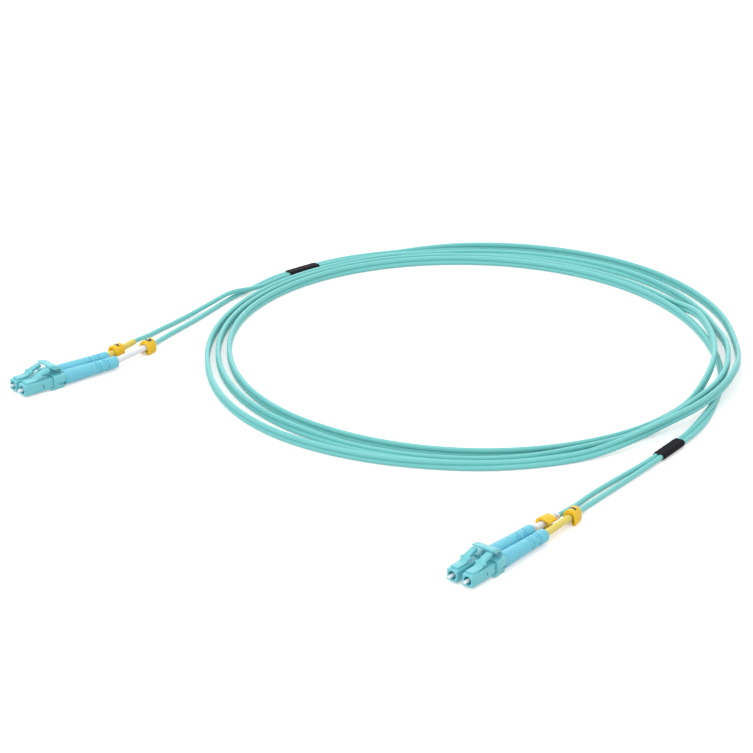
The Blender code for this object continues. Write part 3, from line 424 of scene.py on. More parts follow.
jacket_look = {"colour": JACKET_AQUA, "roughness": 0.42, "grain_scale": 2500.0, "bump": 0.05, "vary": 0.035,
               "sheen": 0.45, "where": "grain", "stretch": (1.0, 1.0, 0.06)}
jacket = moulded("aqua_jacket", **jacket_look)
duplex_route = cord_route()
duplex = show("duplex_cord", sweep("duplex_cord", duplex_route, duplex_outline()), jacket, "cord",
              ["coil"])

# ---- The legs: one 2.0 mm strand from each plug to a heat-shrink, in the same jacket ----
# Each comes straight out of its boot through a coloured sleeve, comes down to the table and runs
# beside the other leg. Those of connector b cross once before they enter the heat-shrink.
BOOT_START, BOOT_END = 19.3 * MM, 45.5 * MM
LEG_START = 24.7 * MM
BEND_PLACE = BOOT_END - 2.0 * MM
BEND_REACH = 1.6 * MM
SLEEVE_START = 2.65 * MM
LEG_SPREAD = STRAND + 0.14 * MM
LEG_STEPS = 12
LEG_ROUND = 20
AXIS_HEIGHT = 2.96 * MM
LATCH_HINGE_Y = 4.78 * MM
LEG_END = 0.3 * MM
# Bend behind the boot, sleeve's length, marker's place and roll, points on the way to the heat-shrink
# as seen from the coil's centre, and the side taken in it.
LEGS = {
    "a1": (3.35, 21.0, 18.9, 0.0, ((36.6, -154.9, 1.1), (39.6, -150.6, 1.03), (48.0, -139.2, 1.03)), -1),
    "a2": (-0.5, 15.2, 8.2, -78.0, ((34.6, -151.6, 1.2), (39.6, -143.9, 1.03), (47.0, -134.2, 1.03)), 1),
    "b1": (12.9, 19.4, 19.6, 0.0, ((-128.2, 3.9, 1.1), (-113.9, 28.5, 1.03), (-101.1, 52.3, 1.03),
                                   (-92.6, 64.6, 1.03)), 1),
    "b2": (17.5, 17.8, 6.6, 0.0, ((-132.8, 9.7, 1.1), (-118.0, 30.9, 1.4), (-109.4, 42.3, 2.5),
                                  (-101.1, 52.3, 3.6), (-90.1, 62.8, 2.1)), -1),
}
joints = {joint["name"]: joint for joint in frame["joints"]}


def plug_pose(plug):
    """Pose of a plug from its joints: on the ferrule's axis, at the front face, Y running back."""
    across = Vector(joints[f"{plug}_latch_hinge"]["axis"])
    back = Vector(joints[f"{plug}_ferrule_slide"]["axis"])
    hinge = Vector(joints[f"{plug}_latch_hinge"]["pos_m"])
    place = hinge - back * LATCH_HINGE_Y
    place.z = AXIS_HEIGHT
    turn = Matrix((across, back, UP)).transposed().to_4x4()
    return Matrix.Translation(place) @ turn


def sleeve_pose(plug):
    """Pose of a leg's straight run behind the boot: at the leg's bend, Y along the sleeve."""
    bend = math.radians(LEGS[plug][0])
    return plug_pose(plug) @ Matrix.Translation((0, BEND_PLACE, 0)) @ Matrix.Rotation(bend, 4, "Z")


def leg_points(plug):
    """Middle points of a leg from its crimp to the middle of its heat-shrink."""
    _, length, _, _, route, shrink_side = LEGS[plug]
    front, sleeve = plug_pose(plug), sleeve_pose(plug)
    points = [front @ Vector((0, LEG_START, 0)), front @ Vector((0, BEND_PLACE - BEND_REACH, 0))]
    corner, bend_end = sleeve @ Vector((0, 0, 0)), sleeve @ Vector((0, BEND_REACH, 0))
    for share in (0.2, 0.4, 0.6, 0.8):
        points.append(points[1].lerp(corner, share).lerp(corner.lerp(bend_end, share), share))
    leave = sleeve @ Vector((0, SLEEVE_START + length * MM + STRAND / 2, 0))
    points += [bend_end, leave]
    centre, way = shrink_frame(plug[0])
    across = Vector((-way.y, way.x, 0)) * shrink_side * LEG_SPREAD / 2
    stops = [leave] + [COIL_POSE @ (Vector(stop) * MM) for stop in route]
    stops.append(COIL_POSE @ (centre + across - way * (SHRINK_LENGTH / 2 + STRAND)))
    ways = [sleeve.to_3x3() @ Vector((0, 1, 0))]
    ways += [(after - before).normalized() for before, after in zip(stops, stops[2:])]
    ways.append(COIL_POSE.to_3x3() @ way)
    for start, start_way, stop, stop_way in zip(stops, ways, stops[1:], ways[1:]):
        points += join_smoothly(start, start_way, stop, stop_way, LEG_STEPS)
    points.append(COIL_POSE @ (centre + across - way * LEG_END))
    for point in points:
        point.z = max(point.z, STRAND / 2 + TABLE_CLEARANCE)
    return points


spokes = [FULL_TURN * k / LEG_ROUND for k in range(LEG_ROUND)]
round_outline = [(STRAND / 2 * math.cos(a), STRAND / 2 * math.sin(a)) for a in spokes]
leg_jacket = moulded("leg_jacket", **jacket_look)
legs = {}
leg_lines = {}
for plug in LEGS:
    leg_lines[plug] = leg_points(plug)
    skin = sweep(f"{plug}_leg_strand", [(point, 0.0) for point in leg_lines[plug]], round_outline)
    legs[plug] = show(f"{plug}_leg_strand", skin, leg_jacket, "cord", [f"{plug}_leg"])

# ---- Heat-shrinks: black polyolefin tubes over each place where two legs become the duplex cord ----
# Shrunk tight: an oval tube that draws in at both ends, with the strands' two ridges showing through.
SHRINK_STEPS = 40
SHRINK_SPIN = 48
SHRINK_DRAW, SHRINK_DRAW_LENGTH = 0.12 * MM, 1.6 * MM
SHRINK_WAVE, FINE_WAVES, LONG_WAVES = 0.035 * MM, 23.0, 9.0
RIDGE_SHARPNESS = 2.6
GROOVE_DEPTH, GROOVE_HALF = 0.16 * MM, 0.8 * MM
SHRINK_BLACK = (0.013, 0.013, 0.016)


def shrink_skin(name):
    """Oval tube along Y, thinner at its two ends, with a groove between the strands and slight waves."""
    bm = bmesh.new()
    half_high = STRAND / 2 + SHRINK_CLEARANCE
    shift = STRAND_PITCH / 2
    rings = []
    walls = [(SHRINK_WALL, step / SHRINK_STEPS) for step in range(SHRINK_STEPS + 1)]
    walls += [(0.0, 1.0), (0.0, 0.0)]
    for wall, share in walls:
        along = (share - 0.5) * SHRINK_LENGTH
        from_end = min(share, 1 - share) * SHRINK_LENGTH
        drawn_in = SHRINK_DRAW * (1 - ease(from_end / SHRINK_DRAW_LENGTH)) if wall else 0.0
        waves = math.sin(share * FINE_WAVES) * math.sin(share * LONG_WAVES + 1.0)
        wave = SHRINK_WAVE * waves if wall else 0.0
        ring = []
        for step in range(SHRINK_SPIN):
            angle = FULL_TURN * step / SHRINK_SPIN
            reach = half_high + wall - drawn_in + wave
            x = shift * math.tanh(RIDGE_SHARPNESS * math.cos(angle)) + reach * math.cos(angle)
            z = reach * math.sin(angle)
            groove = GROOVE_DEPTH * math.exp(-(x / GROOVE_HALF) ** 2) if wall else 0.0
            z -= math.copysign(groove, z) if abs(z) > groove else 0.0
            ring.append(bm.verts.new((x, along, z)))
        rings.append(ring)
    join_rings(bm, rings + rings[:1])
    return finished_mesh(bm, name)


shrink_black = moulded("black_shrink", SHRINK_BLACK, roughness=0.65, grain_scale=1500.0, bump=0.12,
                       vary=0.12, sheen=0.08)
shrinks = {}
for end in SHRINKS:
    centre, way = shrink_frame(end)
    turn = Matrix.Rotation(math.atan2(way.y, way.x) - QUARTER_TURN, 4, "Z")
    shrinks[end] = show(f"{end}_heat_shrink", shrink_skin(f"{end}_heat_shrink"), shrink_black, "cord",
                        [f"{end}_shrink"], COIL_POSE @ Matrix.Translation(centre) @ turn)

# ---- Sleeves: thin coloured tubes on the legs that tell the channels apart ----
# Slipped over the strand behind the boot and cut square. Two are trimmed to their length in the
# photograph, and the print on that of a2 is shown as dashes.
SLEEVE_INNER, SLEEVE_OUTER = 1.06 * MM, 1.32 * MM
SLEEVE_EDGE = 0.06 * MM
SLEEVE_TRIMS = {"b1": -1.3 * MM, "b2": 0.7 * MM}
SLEEVE_COLOURS = {"a1": "yellow", "a2": "white", "b1": "white", "b2": "yellow"}
YELLOW = (0.80, 0.66, 0.135)
WHITE = (0.86, 0.86, 0.90)
PRINT = (0.035, 0.035, 0.04)
PRINT_WIDTH = 0.34 * MM
PRINT_PROUD, PRINT_SUNK = 0.008 * MM, 0.03 * MM
TICK_STEPS = 6
MERGE_REACH = 0.0001 * MM
TICKS = [(y, middle, 15) for y in (0.9, 11.9, 12.8, 13.7) for middle in (40, 85, 130)]


def turned(name, profile, segments=48):
    """Revolve a profile of (distance along Y, radius) points about the Y axis."""
    bm = bmesh.new()
    corners = [bm.verts.new((radius, along, 0.0)) for along, radius in profile]
    rim = [bm.edges.new((a, b)) for a, b in zip(corners, corners[1:] + corners[:1])]
    bmesh.ops.spin(bm, geom=corners + rim, cent=(0, 0, 0), axis=(0, 1, 0), angle=FULL_TURN,
                   steps=segments, use_merge=True)
    bmesh.ops.remove_doubles(bm, verts=bm.verts, dist=MERGE_REACH)
    spine = [edge for edge in bm.edges
             if all(math.hypot(v.co.x, v.co.z) < MERGE_REACH for v in edge.verts)]
    bmesh.ops.delete(bm, geom=spine, context="EDGES")
    return finished_mesh(bm, name)


def sleeve_skin(name, length):
    """Tube with softened rims."""
    edge = SLEEVE_EDGE
    return turned(name, [
        (edge, SLEEVE_INNER), (0, SLEEVE_INNER + edge), (0, SLEEVE_OUTER - edge), (edge, SLEEVE_OUTER),
        (length - edge, SLEEVE_OUTER), (length, SLEEVE_OUTER - edge), (length, SLEEVE_INNER + edge),
        (length - edge, SLEEVE_INNER)])


sleeve_finish = {
    "yellow": moulded("yellow_sleeve", YELLOW, 0.44, 1800.0, bump=0.05, vary=0.03, sheen=0.45),
    "white": moulded("white_sleeve", WHITE, 0.44, 1800.0, bump=0.05, vary=0.02, sheen=0.45),
}
sleeves = {}
sleeve_fronts = {plug: sleeve_pose(plug) @ Matrix.Translation((0, SLEEVE_START, 0)) for plug in LEGS}
for plug, tint in SLEEVE_COLOURS.items():
    skin = sleeve_skin(f"{plug}_tube", LEGS[plug][1] * MM + SLEEVE_TRIMS.get(plug, 0.0))
    sleeves[plug] = show(f"{plug}_tube", skin, sleeve_finish[tint], "cord",
                         [f"{plug}_sleeve"], sleeve_fronts[plug])

ink = moulded("black_ink", PRINT, 0.5, 1400.0, bump=0.05, vary=0.1, sheen=0.4)


def arc(radius, start, end, steps, centre=(0.0, 0.0)):
    """Points of an arc, with angles in degrees."""
    angles = [math.radians(start + (end - start) * step / steps) for step in range(steps + 1)]
    return [(centre[0] + radius * math.cos(a), centre[1] + radius * math.sin(a)) for a in angles]


def tick_marks(name, places):
    """Short printed dashes round a sleeve, each at (distance along it, middle angle, half its spread)."""
    bm = bmesh.new()
    for along, middle, spread in places:
        rows = []
        for reach in (SLEEVE_OUTER + PRINT_PROUD, SLEEVE_OUTER - PRINT_SUNK):
            bow = arc(reach, middle - spread, middle + spread, TICK_STEPS)
            for y in (along * MM, along * MM + PRINT_WIDTH):
                rows.append([bm.verts.new((x, y, z)) for x, z in bow])
        top_near, top_far, low_near, low_far = rows
        for near, far in ((top_near, top_far), (low_far, low_near), (low_near, top_near), (top_far, low_far)):
            for k in range(TICK_STEPS):
                bm.faces.new((near[k], near[k + 1], far[k + 1], far[k]))
        for k in (0, TICK_STEPS):
            bm.faces.new((top_near[k], top_far[k], low_far[k], low_near[k]))
    return finished_mesh(bm, name)


prints = {"a2": show("a2_tube_print", tick_marks("a2_tube_print", TICKS), ink, "cord", (),
                     sleeve_fronts["a2"])}

# ---- Markers: snap-on clips of yellow-orange PVC that slide on the sleeves and number the channels ----
# Moulded with a round crown and two straight legs, whose ends fold in and up as tongues that grip the
# strand. The number is printed on the crown, and a loose marker sits a little askew.
MARKER_INNER, MARKER_OUTER, MARKER_CROWN = 1.62 * MM, 2.62 * MM, 3.0 * MM
MARKER_LENGTH = 4.8 * MM
MARKER_LEG = ((2.62, -1.6), (2.5, -2.2), (2.3, -2.64), (2.0, -2.86), (1.62, -2.88), (1.32, -2.68),
              (0.95, -2.2), (0.58, -1.76), (0.42, -1.58), (0.42, -1.44), (0.58, -1.42), (0.82, -1.62),
              (1.2, -2.06), (1.5, -2.36), (1.66, -2.38), (1.72, -2.2), (1.7, -1.5), (1.66, -0.7))
MARKER_ROUND = 0.1 * MM
MARKER_SKEW = {"a1": 6.0, "a2": 0.0, "b1": 2.0, "b2": -7.0}
MARKER_NUMBERS = {"a1": "1", "a2": "2", "b1": "2", "b2": "1"}
ORANGE = (0.930, 0.590, 0.022)
DIGIT_HEIGHT = 3.8 * MM
DIGIT_BOLD = 0.3 * MM
DIGIT_SHIFT = -0.9 * MM
DIGIT_PROUD, DIGIT_SUNK = 0.02 * MM, 0.04 * MM
DIGIT_CUTS, CUTS_PER_HEIGHT = 8, 14
FONT_SCALE = 1.4


def slab(name, outline, low, high, axis="X", round_by=0.0, segments=3):
    """Extrude an outline of (y, z) points along X, or of (x, z) points along Y, with rounded rims."""
    bm = bmesh.new()
    place = "XY".index(axis)
    face = bm.faces.new([bm.verts.new((*point[:place], low, *point[place:])) for point in outline])
    moved = bmesh.ops.extrude_face_region(bm, geom=[face])["geom"]
    corners = [item for item in moved if isinstance(item, bmesh.types.BMVert)]
    step = Vector()
    step[place] = high - low
    bmesh.ops.translate(bm, verts=corners, vec=step)
    bmesh.ops.recalc_face_normals(bm, faces=bm.faces)
    if round_by:
        caps = [f for f in bm.faces if len(f.verts) == len(outline)]
        rims = list({edge for f in caps for edge in f.edges})
        bmesh.ops.bevel(bm, geom=rims, offset=round_by, segments=segments, profile=0.5,
                        affect="EDGES", clamp_overlap=True)
    bmesh.ops.triangulate(bm, faces=[f for f in bm.faces if len(f.verts) > 4], ngon_method="EAR_CLIP")
    return finished_mesh(bm, name)


def marker_outline():
    """Crown and two legs whose ends fold in to a V-shaped mouth below."""
    right = [(x * MM, z * MM) for x, z in MARKER_LEG]
    left = [(-x, z) for x, z in right[::-1]]
    crown = [(x, z * MARKER_CROWN / MARKER_OUTER) for x, z in arc(MARKER_OUTER, 180, 0, 24)]
    return crown + right + arc(MARKER_INNER, 0, 180, 20) + left


def final_mesh(holder):
    """The mesh that an object has with its modifiers."""
    bpy.context.view_layer.update()
    return bpy.data.meshes.new_from_object(holder.evaluated_get(bpy.context.evaluated_depsgraph_get()))


def text_mesh(text, height, bold, depth):
    """A number about the origin, facing up, with a depth to both sides of its plane."""
    curve = bpy.data.curves.new("text", "FONT")
    curve.body = text
    curve.size = height * FONT_SCALE
    curve.align_x = "CENTER"
    curve.align_y = "CENTER"
    curve.extrude = depth
    curve.offset = bold
    holder = placed("text", curve)
    mesh = final_mesh(holder)
    bpy.data.objects.remove(holder, do_unlink=True)
    return mesh


def digit_skin(name, text):
    """A marker's printed number, cut into strips and bent over the crown."""
    bm = bmesh.new()
    bm.from_mesh(text_mesh(text, DIGIT_HEIGHT, DIGIT_BOLD, 0.0))
    bmesh.ops.rotate(bm, verts=bm.verts, matrix=Matrix.Rotation(-QUARTER_TURN, 3, "Z"))
    bmesh.ops.translate(bm, verts=bm.verts, vec=(DIGIT_SHIFT, 0, 0))
    for step in range(-DIGIT_CUTS, DIGIT_CUTS + 1):
        cut = bm.verts[:] + bm.edges[:] + bm.faces[:]
        place = (step * DIGIT_HEIGHT / CUTS_PER_HEIGHT, 0, 0)
        bmesh.ops.bisect_plane(bm, geom=cut, plane_co=place, plane_no=(1, 0, 0))
    grown = bmesh.ops.extrude_face_region(bm, geom=bm.faces[:])["geom"]
    tops = {item for item in grown if isinstance(item, bmesh.types.BMVert)}
    for corner in bm.verts:
        proud = DIGIT_PROUD if corner in tops else -DIGIT_SUNK
        angle = corner.co.x / MARKER_OUTER
        across, up = (MARKER_OUTER + proud) * math.sin(angle), (MARKER_CROWN + proud) * math.cos(angle)
        corner.co = (across, corner.co.y, up)
    return finished_mesh(bm, name)


orange = moulded("orange_marker", ORANGE, 0.4, 1400.0, bump=0.06, vary=0.05, sheen=0.4, depth=1.0)
marker_mesh = slab("marker", marker_outline(), -MARKER_LENGTH / 2, MARKER_LENGTH / 2, "Y", MARKER_ROUND)
markers = {}
digits = {}
for plug in LEGS:
    _, _, marker_at, roll, _, _ = LEGS[plug]
    pose = sleeve_fronts[plug] @ Matrix.Translation((0, marker_at * MM, 0))
    pose = pose @ Matrix.Rotation(math.radians(MARKER_SKEW[plug]), 4, "Z")
    rolled = Matrix.Rotation(math.radians(roll), 4, "Y")
    skin = marker_mesh.copy()
    skin.transform(rolled)
    markers[plug] = show(f"{plug}_clip_marker", skin, orange, f"{plug}_marker",
                         [f"{plug}_marker"], pose)
    skin = digit_skin(f"{plug}_number", MARKER_NUMBERS[plug])
    skin.transform(rolled)
    digits[plug] = show(f"{plug}_number", skin, ink, f"{plug}_marker", (), pose)

# ---- Plug housings: square aqua shells moulded in glass-filled plastic, with the latch's root block ----
# The front bore takes the adapter's sleeve; the ferrule stands in its middle. The rear is stepped
# for the spring and the stop. The channel's number is sunk into the outer side.
HOUSING_WIDTH = 4.52 * MM
HOUSING_LENGTH = 18.9 * MM
HOUSING_ROUND = 0.4 * MM
ROOT_WIDTH = 3.34 * MM
ROOT_START, ROOT_END = 1.25 * MM, 4.35 * MM
ROOT_HEIGHT = 0.78 * MM
ROOT_ROUND = 0.16 * MM
FRONT_BORE, FRONT_BORE_DEPTH = 3.16 * MM, 4.0 * MM
BORE_CHAMFER = 0.16 * MM
SEAT_END = 5.2 * MM
SEAT_HOLE = 1.41 * MM
REAR_BORE = 3.5 * MM
NUMBER_PLACE = (8.8 * MM, -0.25 * MM)
NUMBER_HEIGHT = 1.45 * MM
NUMBER_DEPTH = 0.42 * MM
NUMBER_BOLD = 0.11 * MM
CUT_OVER = 0.5 * MM
ROUNDED_ANGLE = math.radians(38.0)
CUT_SHARP_ANGLE = math.radians(40.0)
SHELL_AQUA = (0.185, 0.620, 0.680)


def block(name, low, high, round_by=0.0, segments=4):
    """A box between two corners, with its edges rounded."""
    bm = bmesh.new()
    size = [b - a for a, b in zip(low, high)]
    middle = [(a + b) / 2 for a, b in zip(low, high)]
    bmesh.ops.create_cube(bm, size=1.0, matrix=Matrix.Translation(middle) @ Matrix.Diagonal((*size, 1.0)))
    if round_by:
        bmesh.ops.bevel(bm, geom=bm.edges[:], offset=round_by, segments=segments, profile=0.5,
                        affect="EDGES")
    return finished_mesh(bm, name)


def carved(name, body, cutters=(), additions=(), round_by=0.0, segments=3):
    """Join, cut and round meshes, in that order, at a thousand times their size."""
    big = Matrix.Diagonal((1 / MM, 1 / MM, 1 / MM, 1.0))
    piece = placed(name, body)
    helpers = []
    body.transform(big)

    def use(mesh, operation):
        mesh.transform(big)
        helpers.append(placed(f"{name}_tool", mesh))
        step = piece.modifiers.new("tool", "BOOLEAN")
        step.operation = operation
        step.object = helpers[-1]

    for mesh in additions:
        use(mesh, "UNION")
    for mesh in cutters:
        use(mesh, "DIFFERENCE")
    if round_by:
        rounding = piece.modifiers.new("round", "BEVEL")
        rounding.width = round_by / MM
        rounding.segments = segments
        rounding.limit_method = "ANGLE"
        rounding.angle_limit = ROUNDED_ANGLE
    result = final_mesh(piece)
    for item in [piece, *helpers]:
        bpy.data.objects.remove(item, do_unlink=True)
    result.transform(big.inverted())
    result.shade_smooth()
    result.set_sharp_from_angle(angle=CUT_SHARP_ANGLE)
    return result


def number_cutter(text, side):
    """A number to sink into a housing's side wall, read from outside."""
    mesh = text_mesh(text, NUMBER_HEIGHT, NUMBER_BOLD, NUMBER_DEPTH)
    out = Vector((side, 0, 0))
    upright = Matrix((UP.cross(out), UP, out)).transposed().to_4x4()
    mesh.transform(Matrix.Translation((side * HOUSING_WIDTH / 2, *NUMBER_PLACE)) @ upright)
    return mesh


def housing_skin(text, side):
    """Housing with root block, stepped bore, rounded edges, a chamfered mouth and its channel's number."""
    half = HOUSING_WIDTH / 2
    body = block("housing", (-half, 0, -half), (half, HOUSING_LENGTH, half), HOUSING_ROUND)
    base, top = half - HOUSING_ROUND, half + ROOT_HEIGHT
    corner = arc(ROOT_ROUND, 180, 90, 4, (ROOT_START + ROOT_ROUND, top - ROOT_ROUND))
    root = slab("root", [(ROOT_START, base)] + corner + [(ROOT_END, top), (ROOT_END, base)],
                -ROOT_WIDTH / 2, ROOT_WIDTH / 2, "X", ROOT_ROUND)
    mouth, back = FRONT_BORE / 2, HOUSING_LENGTH + CUT_OVER
    bore = turned("bore", [
        (-CUT_OVER, 0), (-CUT_OVER, mouth + BORE_CHAMFER + CUT_OVER), (BORE_CHAMFER, mouth),
        (FRONT_BORE_DEPTH, mouth), (FRONT_BORE_DEPTH, SEAT_HOLE / 2), (SEAT_END, SEAT_HOLE / 2),
        (SEAT_END, REAR_BORE / 2), (back, REAR_BORE / 2), (back, 0)])
    return carved("housing", body, [bore, number_cutter(text, side)], [root])


shell = moulded("aqua_shell", SHELL_AQUA, 0.38, 900.0, bump=0.05, vary=0.03, sheen=0.7, depth=0.3)
plugs = {plug: plug_pose(plug) for plug in LEGS}
for plug, pose in plugs.items():
    outer_side = 1 if plug.endswith("1") else -1
    show(f"{plug}_shell", housing_skin(MARKER_NUMBERS[plug], outer_side), shell, "cord",
         [f"{plug}_housing"], pose)

# ---- Latch arms: springy tongues moulded on the housings, which flex about their root ----
# Each rises from the root block, narrows behind it, has a lug on each side that catches in the
# adapter, and ends under the trigger with a small rounded tip.
ARM_START = 4.2 * MM
ARM_TOP = HOUSING_WIDTH / 2 + ROOT_HEIGHT
ARM_HINGE = (4.78 * MM, ARM_TOP - 0.35 * MM)
ARM_LENGTH = 8.75 * MM
ARM_RISES = ((0.0, -0.02), (0.08, 0.0), (0.15, 0.06), (0.21, 0.2), (0.265, 0.42), (0.32, 0.76),
             (0.38, 1.15), (0.435, 1.47), (0.49, 1.75), (0.55, 2.0), (0.66, 2.36), (0.78, 2.66),
             (0.89, 2.92), (1.0, 3.05))
ARM_WIDTHS = ((0.0, 3.3), (0.04, 3.34), (0.2, 3.3), (0.36, 3.28), (0.42, 3.0), (0.49, 2.65), (0.56, 2.46),
              (0.7, 2.35), (1.0, 2.32))
ARM_THICKNESSES = ((0.0, 0.6), (0.1, 0.7), (0.2, 0.74), (0.3, 0.85), (0.45, 1.12), (0.6, 1.36), (0.8, 1.45),
                   (1.0, 1.4))
LUG_PLACE, LUG_RADIUS = 7.8 * MM, 0.6 * MM
LUG_INNER, LUG_OUTER = 0.95 * MM, 2.16 * MM
LUG_PROUD = 0.1 * MM
LUG_SIDES = 20
LUG_ROUND = 0.2 * MM
ARM_STEPS = 30
ARM_ROUND = 0.16 * MM
ARM_EDGE_TURN = 0.8
SHORT_OF_END = 0.0001


def arm_skin():
    """Arm lofted from its root to its tip, with a round lug joined on at each side."""
    bm = bmesh.new()
    rings = []
    for step in range(ARM_STEPS + 1):
        share = min(step / ARM_STEPS, 1.0 - SHORT_OF_END)
        y = ARM_START + ARM_LENGTH * share - ARM_HINGE[0]
        top = ARM_TOP + smooth_value(ARM_RISES, share) * MM - ARM_HINGE[1]
        half = smooth_value(ARM_WIDTHS, share) * MM / 2
        low = top - smooth_value(ARM_THICKNESSES, share) * MM
        corners = ((-half, low), (half, low), (half, top), (-half, top))
        rings.append([bm.verts.new((x, y, z)) for x, z in corners])
    join_rings(bm, rings)
    bmesh.ops.recalc_face_normals(bm, faces=bm.faces)
    long_edges = [edge for edge in bm.edges if edge.calc_face_angle(0.0) > ARM_EDGE_TURN]
    bmesh.ops.bevel(bm, geom=long_edges, offset=ARM_ROUND, segments=3, profile=0.5, affect="EDGES")
    share = (LUG_PLACE - ARM_START) / ARM_LENGTH
    height = ARM_TOP + smooth_value(ARM_RISES, share) * MM + LUG_PROUD - LUG_RADIUS - ARM_HINGE[1]
    lugs = []
    for side in (-1, 1):
        low, high = sorted((side * LUG_INNER, side * LUG_OUTER))
        outline = arc(LUG_RADIUS, 0, 360 - 360 / LUG_SIDES, LUG_SIDES - 1, (LUG_PLACE - ARM_HINGE[0], height))
        lugs.append(slab("lug", outline, low, high, "X", LUG_ROUND))
    return carved("arm", finished_mesh(bm, "arm"), (), lugs)


arm_mesh = arm_skin()
for plug, pose in plugs.items():
    show(f"{plug}_latch_arm", arm_mesh.copy(), shell, f"{plug}_latch", [f"{plug}_latch"],
         pose @ Matrix.Translation((0, *ARM_HINGE)))

# ---- Clips: moulded aqua carriers that hold two plugs side by side ----
# A rounded hood over a narrower base with two dark slots and a small foot on each side. Snapped
# round both housings; its front edge stands a little proud of them.
CHANNEL_PITCH = 6.25 * MM
FIT = 0.08 * MM
CLIP_WALL = 0.735 * MM
CLIP_START, CLIP_END = 13.5 * MM, 19.0 * MM
CLIP_ROOF, CLIP_FLOOR = 0.46 * MM, 0.55 * MM
CLIP_SIDE_STEP = 0.56 * MM
CLIP_SKIRT = 2.65 * MM
CLIP_EDGE = 0.9 * MM
CLIP_RIM = 0.24 * MM
CLIP_RELIEF, CLIP_RELIEF_DEPTH = 0.1 * MM, 0.3 * MM
CLIP_SLOT = 0.55 * MM
CLIP_FOOT, CLIP_FOOT_PROUD = 1.16 * MM, 0.3 * MM
CLIP_FOOT_FORWARD = 0.7
CLIP_FOOT_ROUND = 0.16 * MM
CLIP_HEEL = 0.55 * MM
CLIP_OVER = 1.0 * MM


def clip_skin():
    """Clip about the connector's middle, on the table, with its channels, side steps, slots and feet."""
    half = (CHANNEL_PITCH + HOUSING_WIDTH) / 2 + FIT + CLIP_WALL
    top = AXIS_HEIGHT + HOUSING_WIDTH / 2 + FIT + CLIP_ROOF
    bottom = AXIS_HEIGHT - HOUSING_WIDTH / 2 - FIT - CLIP_FLOOR
    inset = half - CLIP_SIDE_STEP
    right = [(half, CLIP_SKIRT)] + arc(CLIP_EDGE, 0, 90, 8, (half - CLIP_EDGE, top - CLIP_EDGE))
    left = [(-x, z) for x, z in right[::-1]]
    outline = [(inset, bottom), (inset, CLIP_SKIRT)] + right + left + [(-inset, CLIP_SKIRT), (-inset, bottom)]
    body = slab("clip", outline, CLIP_START, CLIP_END, "Y", CLIP_RIM)
    reach = HOUSING_WIDTH / 2 + FIT
    cutters = []
    feet = []
    for side in (-1, 1):
        centre = side * CHANNEL_PITCH / 2
        cutters.append(block("channel", (centre - reach, CLIP_START - CLIP_OVER, AXIS_HEIGHT - reach),
                             (centre + reach, CLIP_END + CLIP_OVER, AXIS_HEIGHT + reach)))
        mouth = reach + CLIP_RELIEF
        cutters.append(block("mouth", (centre - mouth, CLIP_START - CLIP_OVER, AXIS_HEIGHT - mouth),
                             (centre + mouth, CLIP_START + CLIP_RELIEF_DEPTH, AXIS_HEIGHT + mouth)))
        for slot in (1, 2):
            middle = CLIP_END - slot * 2 * CLIP_SLOT
            low, high = sorted((centre + side * HOUSING_WIDTH / 2, side * (half + CLIP_OVER)))
            cutters.append(block("slot", (low, middle - CLIP_SLOT / 2, CLIP_SKIRT - 2 * CLIP_SLOT),
                                 (high, middle + CLIP_SLOT / 2, CLIP_SKIRT + CLIP_SLOT / 4)))
        low, high = sorted((side * (inset - CLIP_OVER), side * (half + CLIP_OVER)))
        cutters.append(block("heel", (low, CLIP_END - CLIP_HEEL, -CLIP_OVER),
                             (high, CLIP_END + CLIP_OVER, CLIP_SKIRT)))
        place = (CLIP_START - CLIP_FOOT * CLIP_FOOT_FORWARD, CLIP_FOOT / 2 + TABLE_CLEARANCE)
        back = CLIP_START + CLIP_OVER
        outline = arc(CLIP_FOOT / 2, 90, 270, 12, place)
        outline += [(back, TABLE_CLEARANCE), (back, CLIP_FOOT + TABLE_CLEARANCE)]
        low, high = sorted((side * (inset - CLIP_FOOT), side * (inset + CLIP_FOOT_PROUD)))
        feet.append(slab("foot", outline, low, high, "X", CLIP_FOOT_ROUND, 2))
    return carved("clip", body, cutters, feet)


# A connector's origin lies on the table, below the middle between its two plugs' faces.
below_middle = Matrix.Translation((-CHANNEL_PITCH / 2, 0, -AXIS_HEIGHT))
connectors = {end: plugs[f"{end}1"] @ below_middle for end in SHRINKS}
clip_mesh = clip_skin()
for end, pose in connectors.items():
    show(f"{end}_carrier", clip_mesh.copy(), shell, "cord", [f"{end}_clip"], pose)

# ---- Triggers: one wide moulded plate over both latch arms, on a curled neck from the clip's rear ----
# Pressing it bends both arms down. In the side view its thin flat front thickens over the arms' tips
# and curls down into the neck.
TRIGGER_HALF = 4.42 * MM
TRIGGER_ORIGIN = (18.0 * MM, 5.91 * MM)
TRIGGER_UPPER = ((12.75, 9.95), (13.9, 9.87), (15.2, 9.64), (16.4, 9.3), (17.1, 8.95), (17.95, 8.25),
                 (18.5, 7.5), (18.8, 6.75), (18.88, 6.06))
TRIGGER_LOWER = ((12.75, 9.25), (13.4, 8.98), (14.3, 8.25), (15.0, 7.8), (15.6, 7.72), (16.3, 7.88),
                 (16.9, 7.9), (17.45, 7.65), (17.9, 7.2), (18.15, 6.6), (18.22, 6.06))
TRIGGER_STEPS = 26
TRIGGER_ROUND = 0.14 * MM


def smooth_line(points, steps):
    """Evenly stepped points on a smooth curve through outline points."""
    places = list(range(len(points)))
    across = list(zip(places, [p[0] for p in points]))
    along = list(zip(places, [p[1] for p in points]))
    spots = [step * (places[-1] - SHORT_OF_END) / steps for step in range(steps + 1)]
    return [(smooth_value(across, spot), smooth_value(along, spot)) for spot in spots]


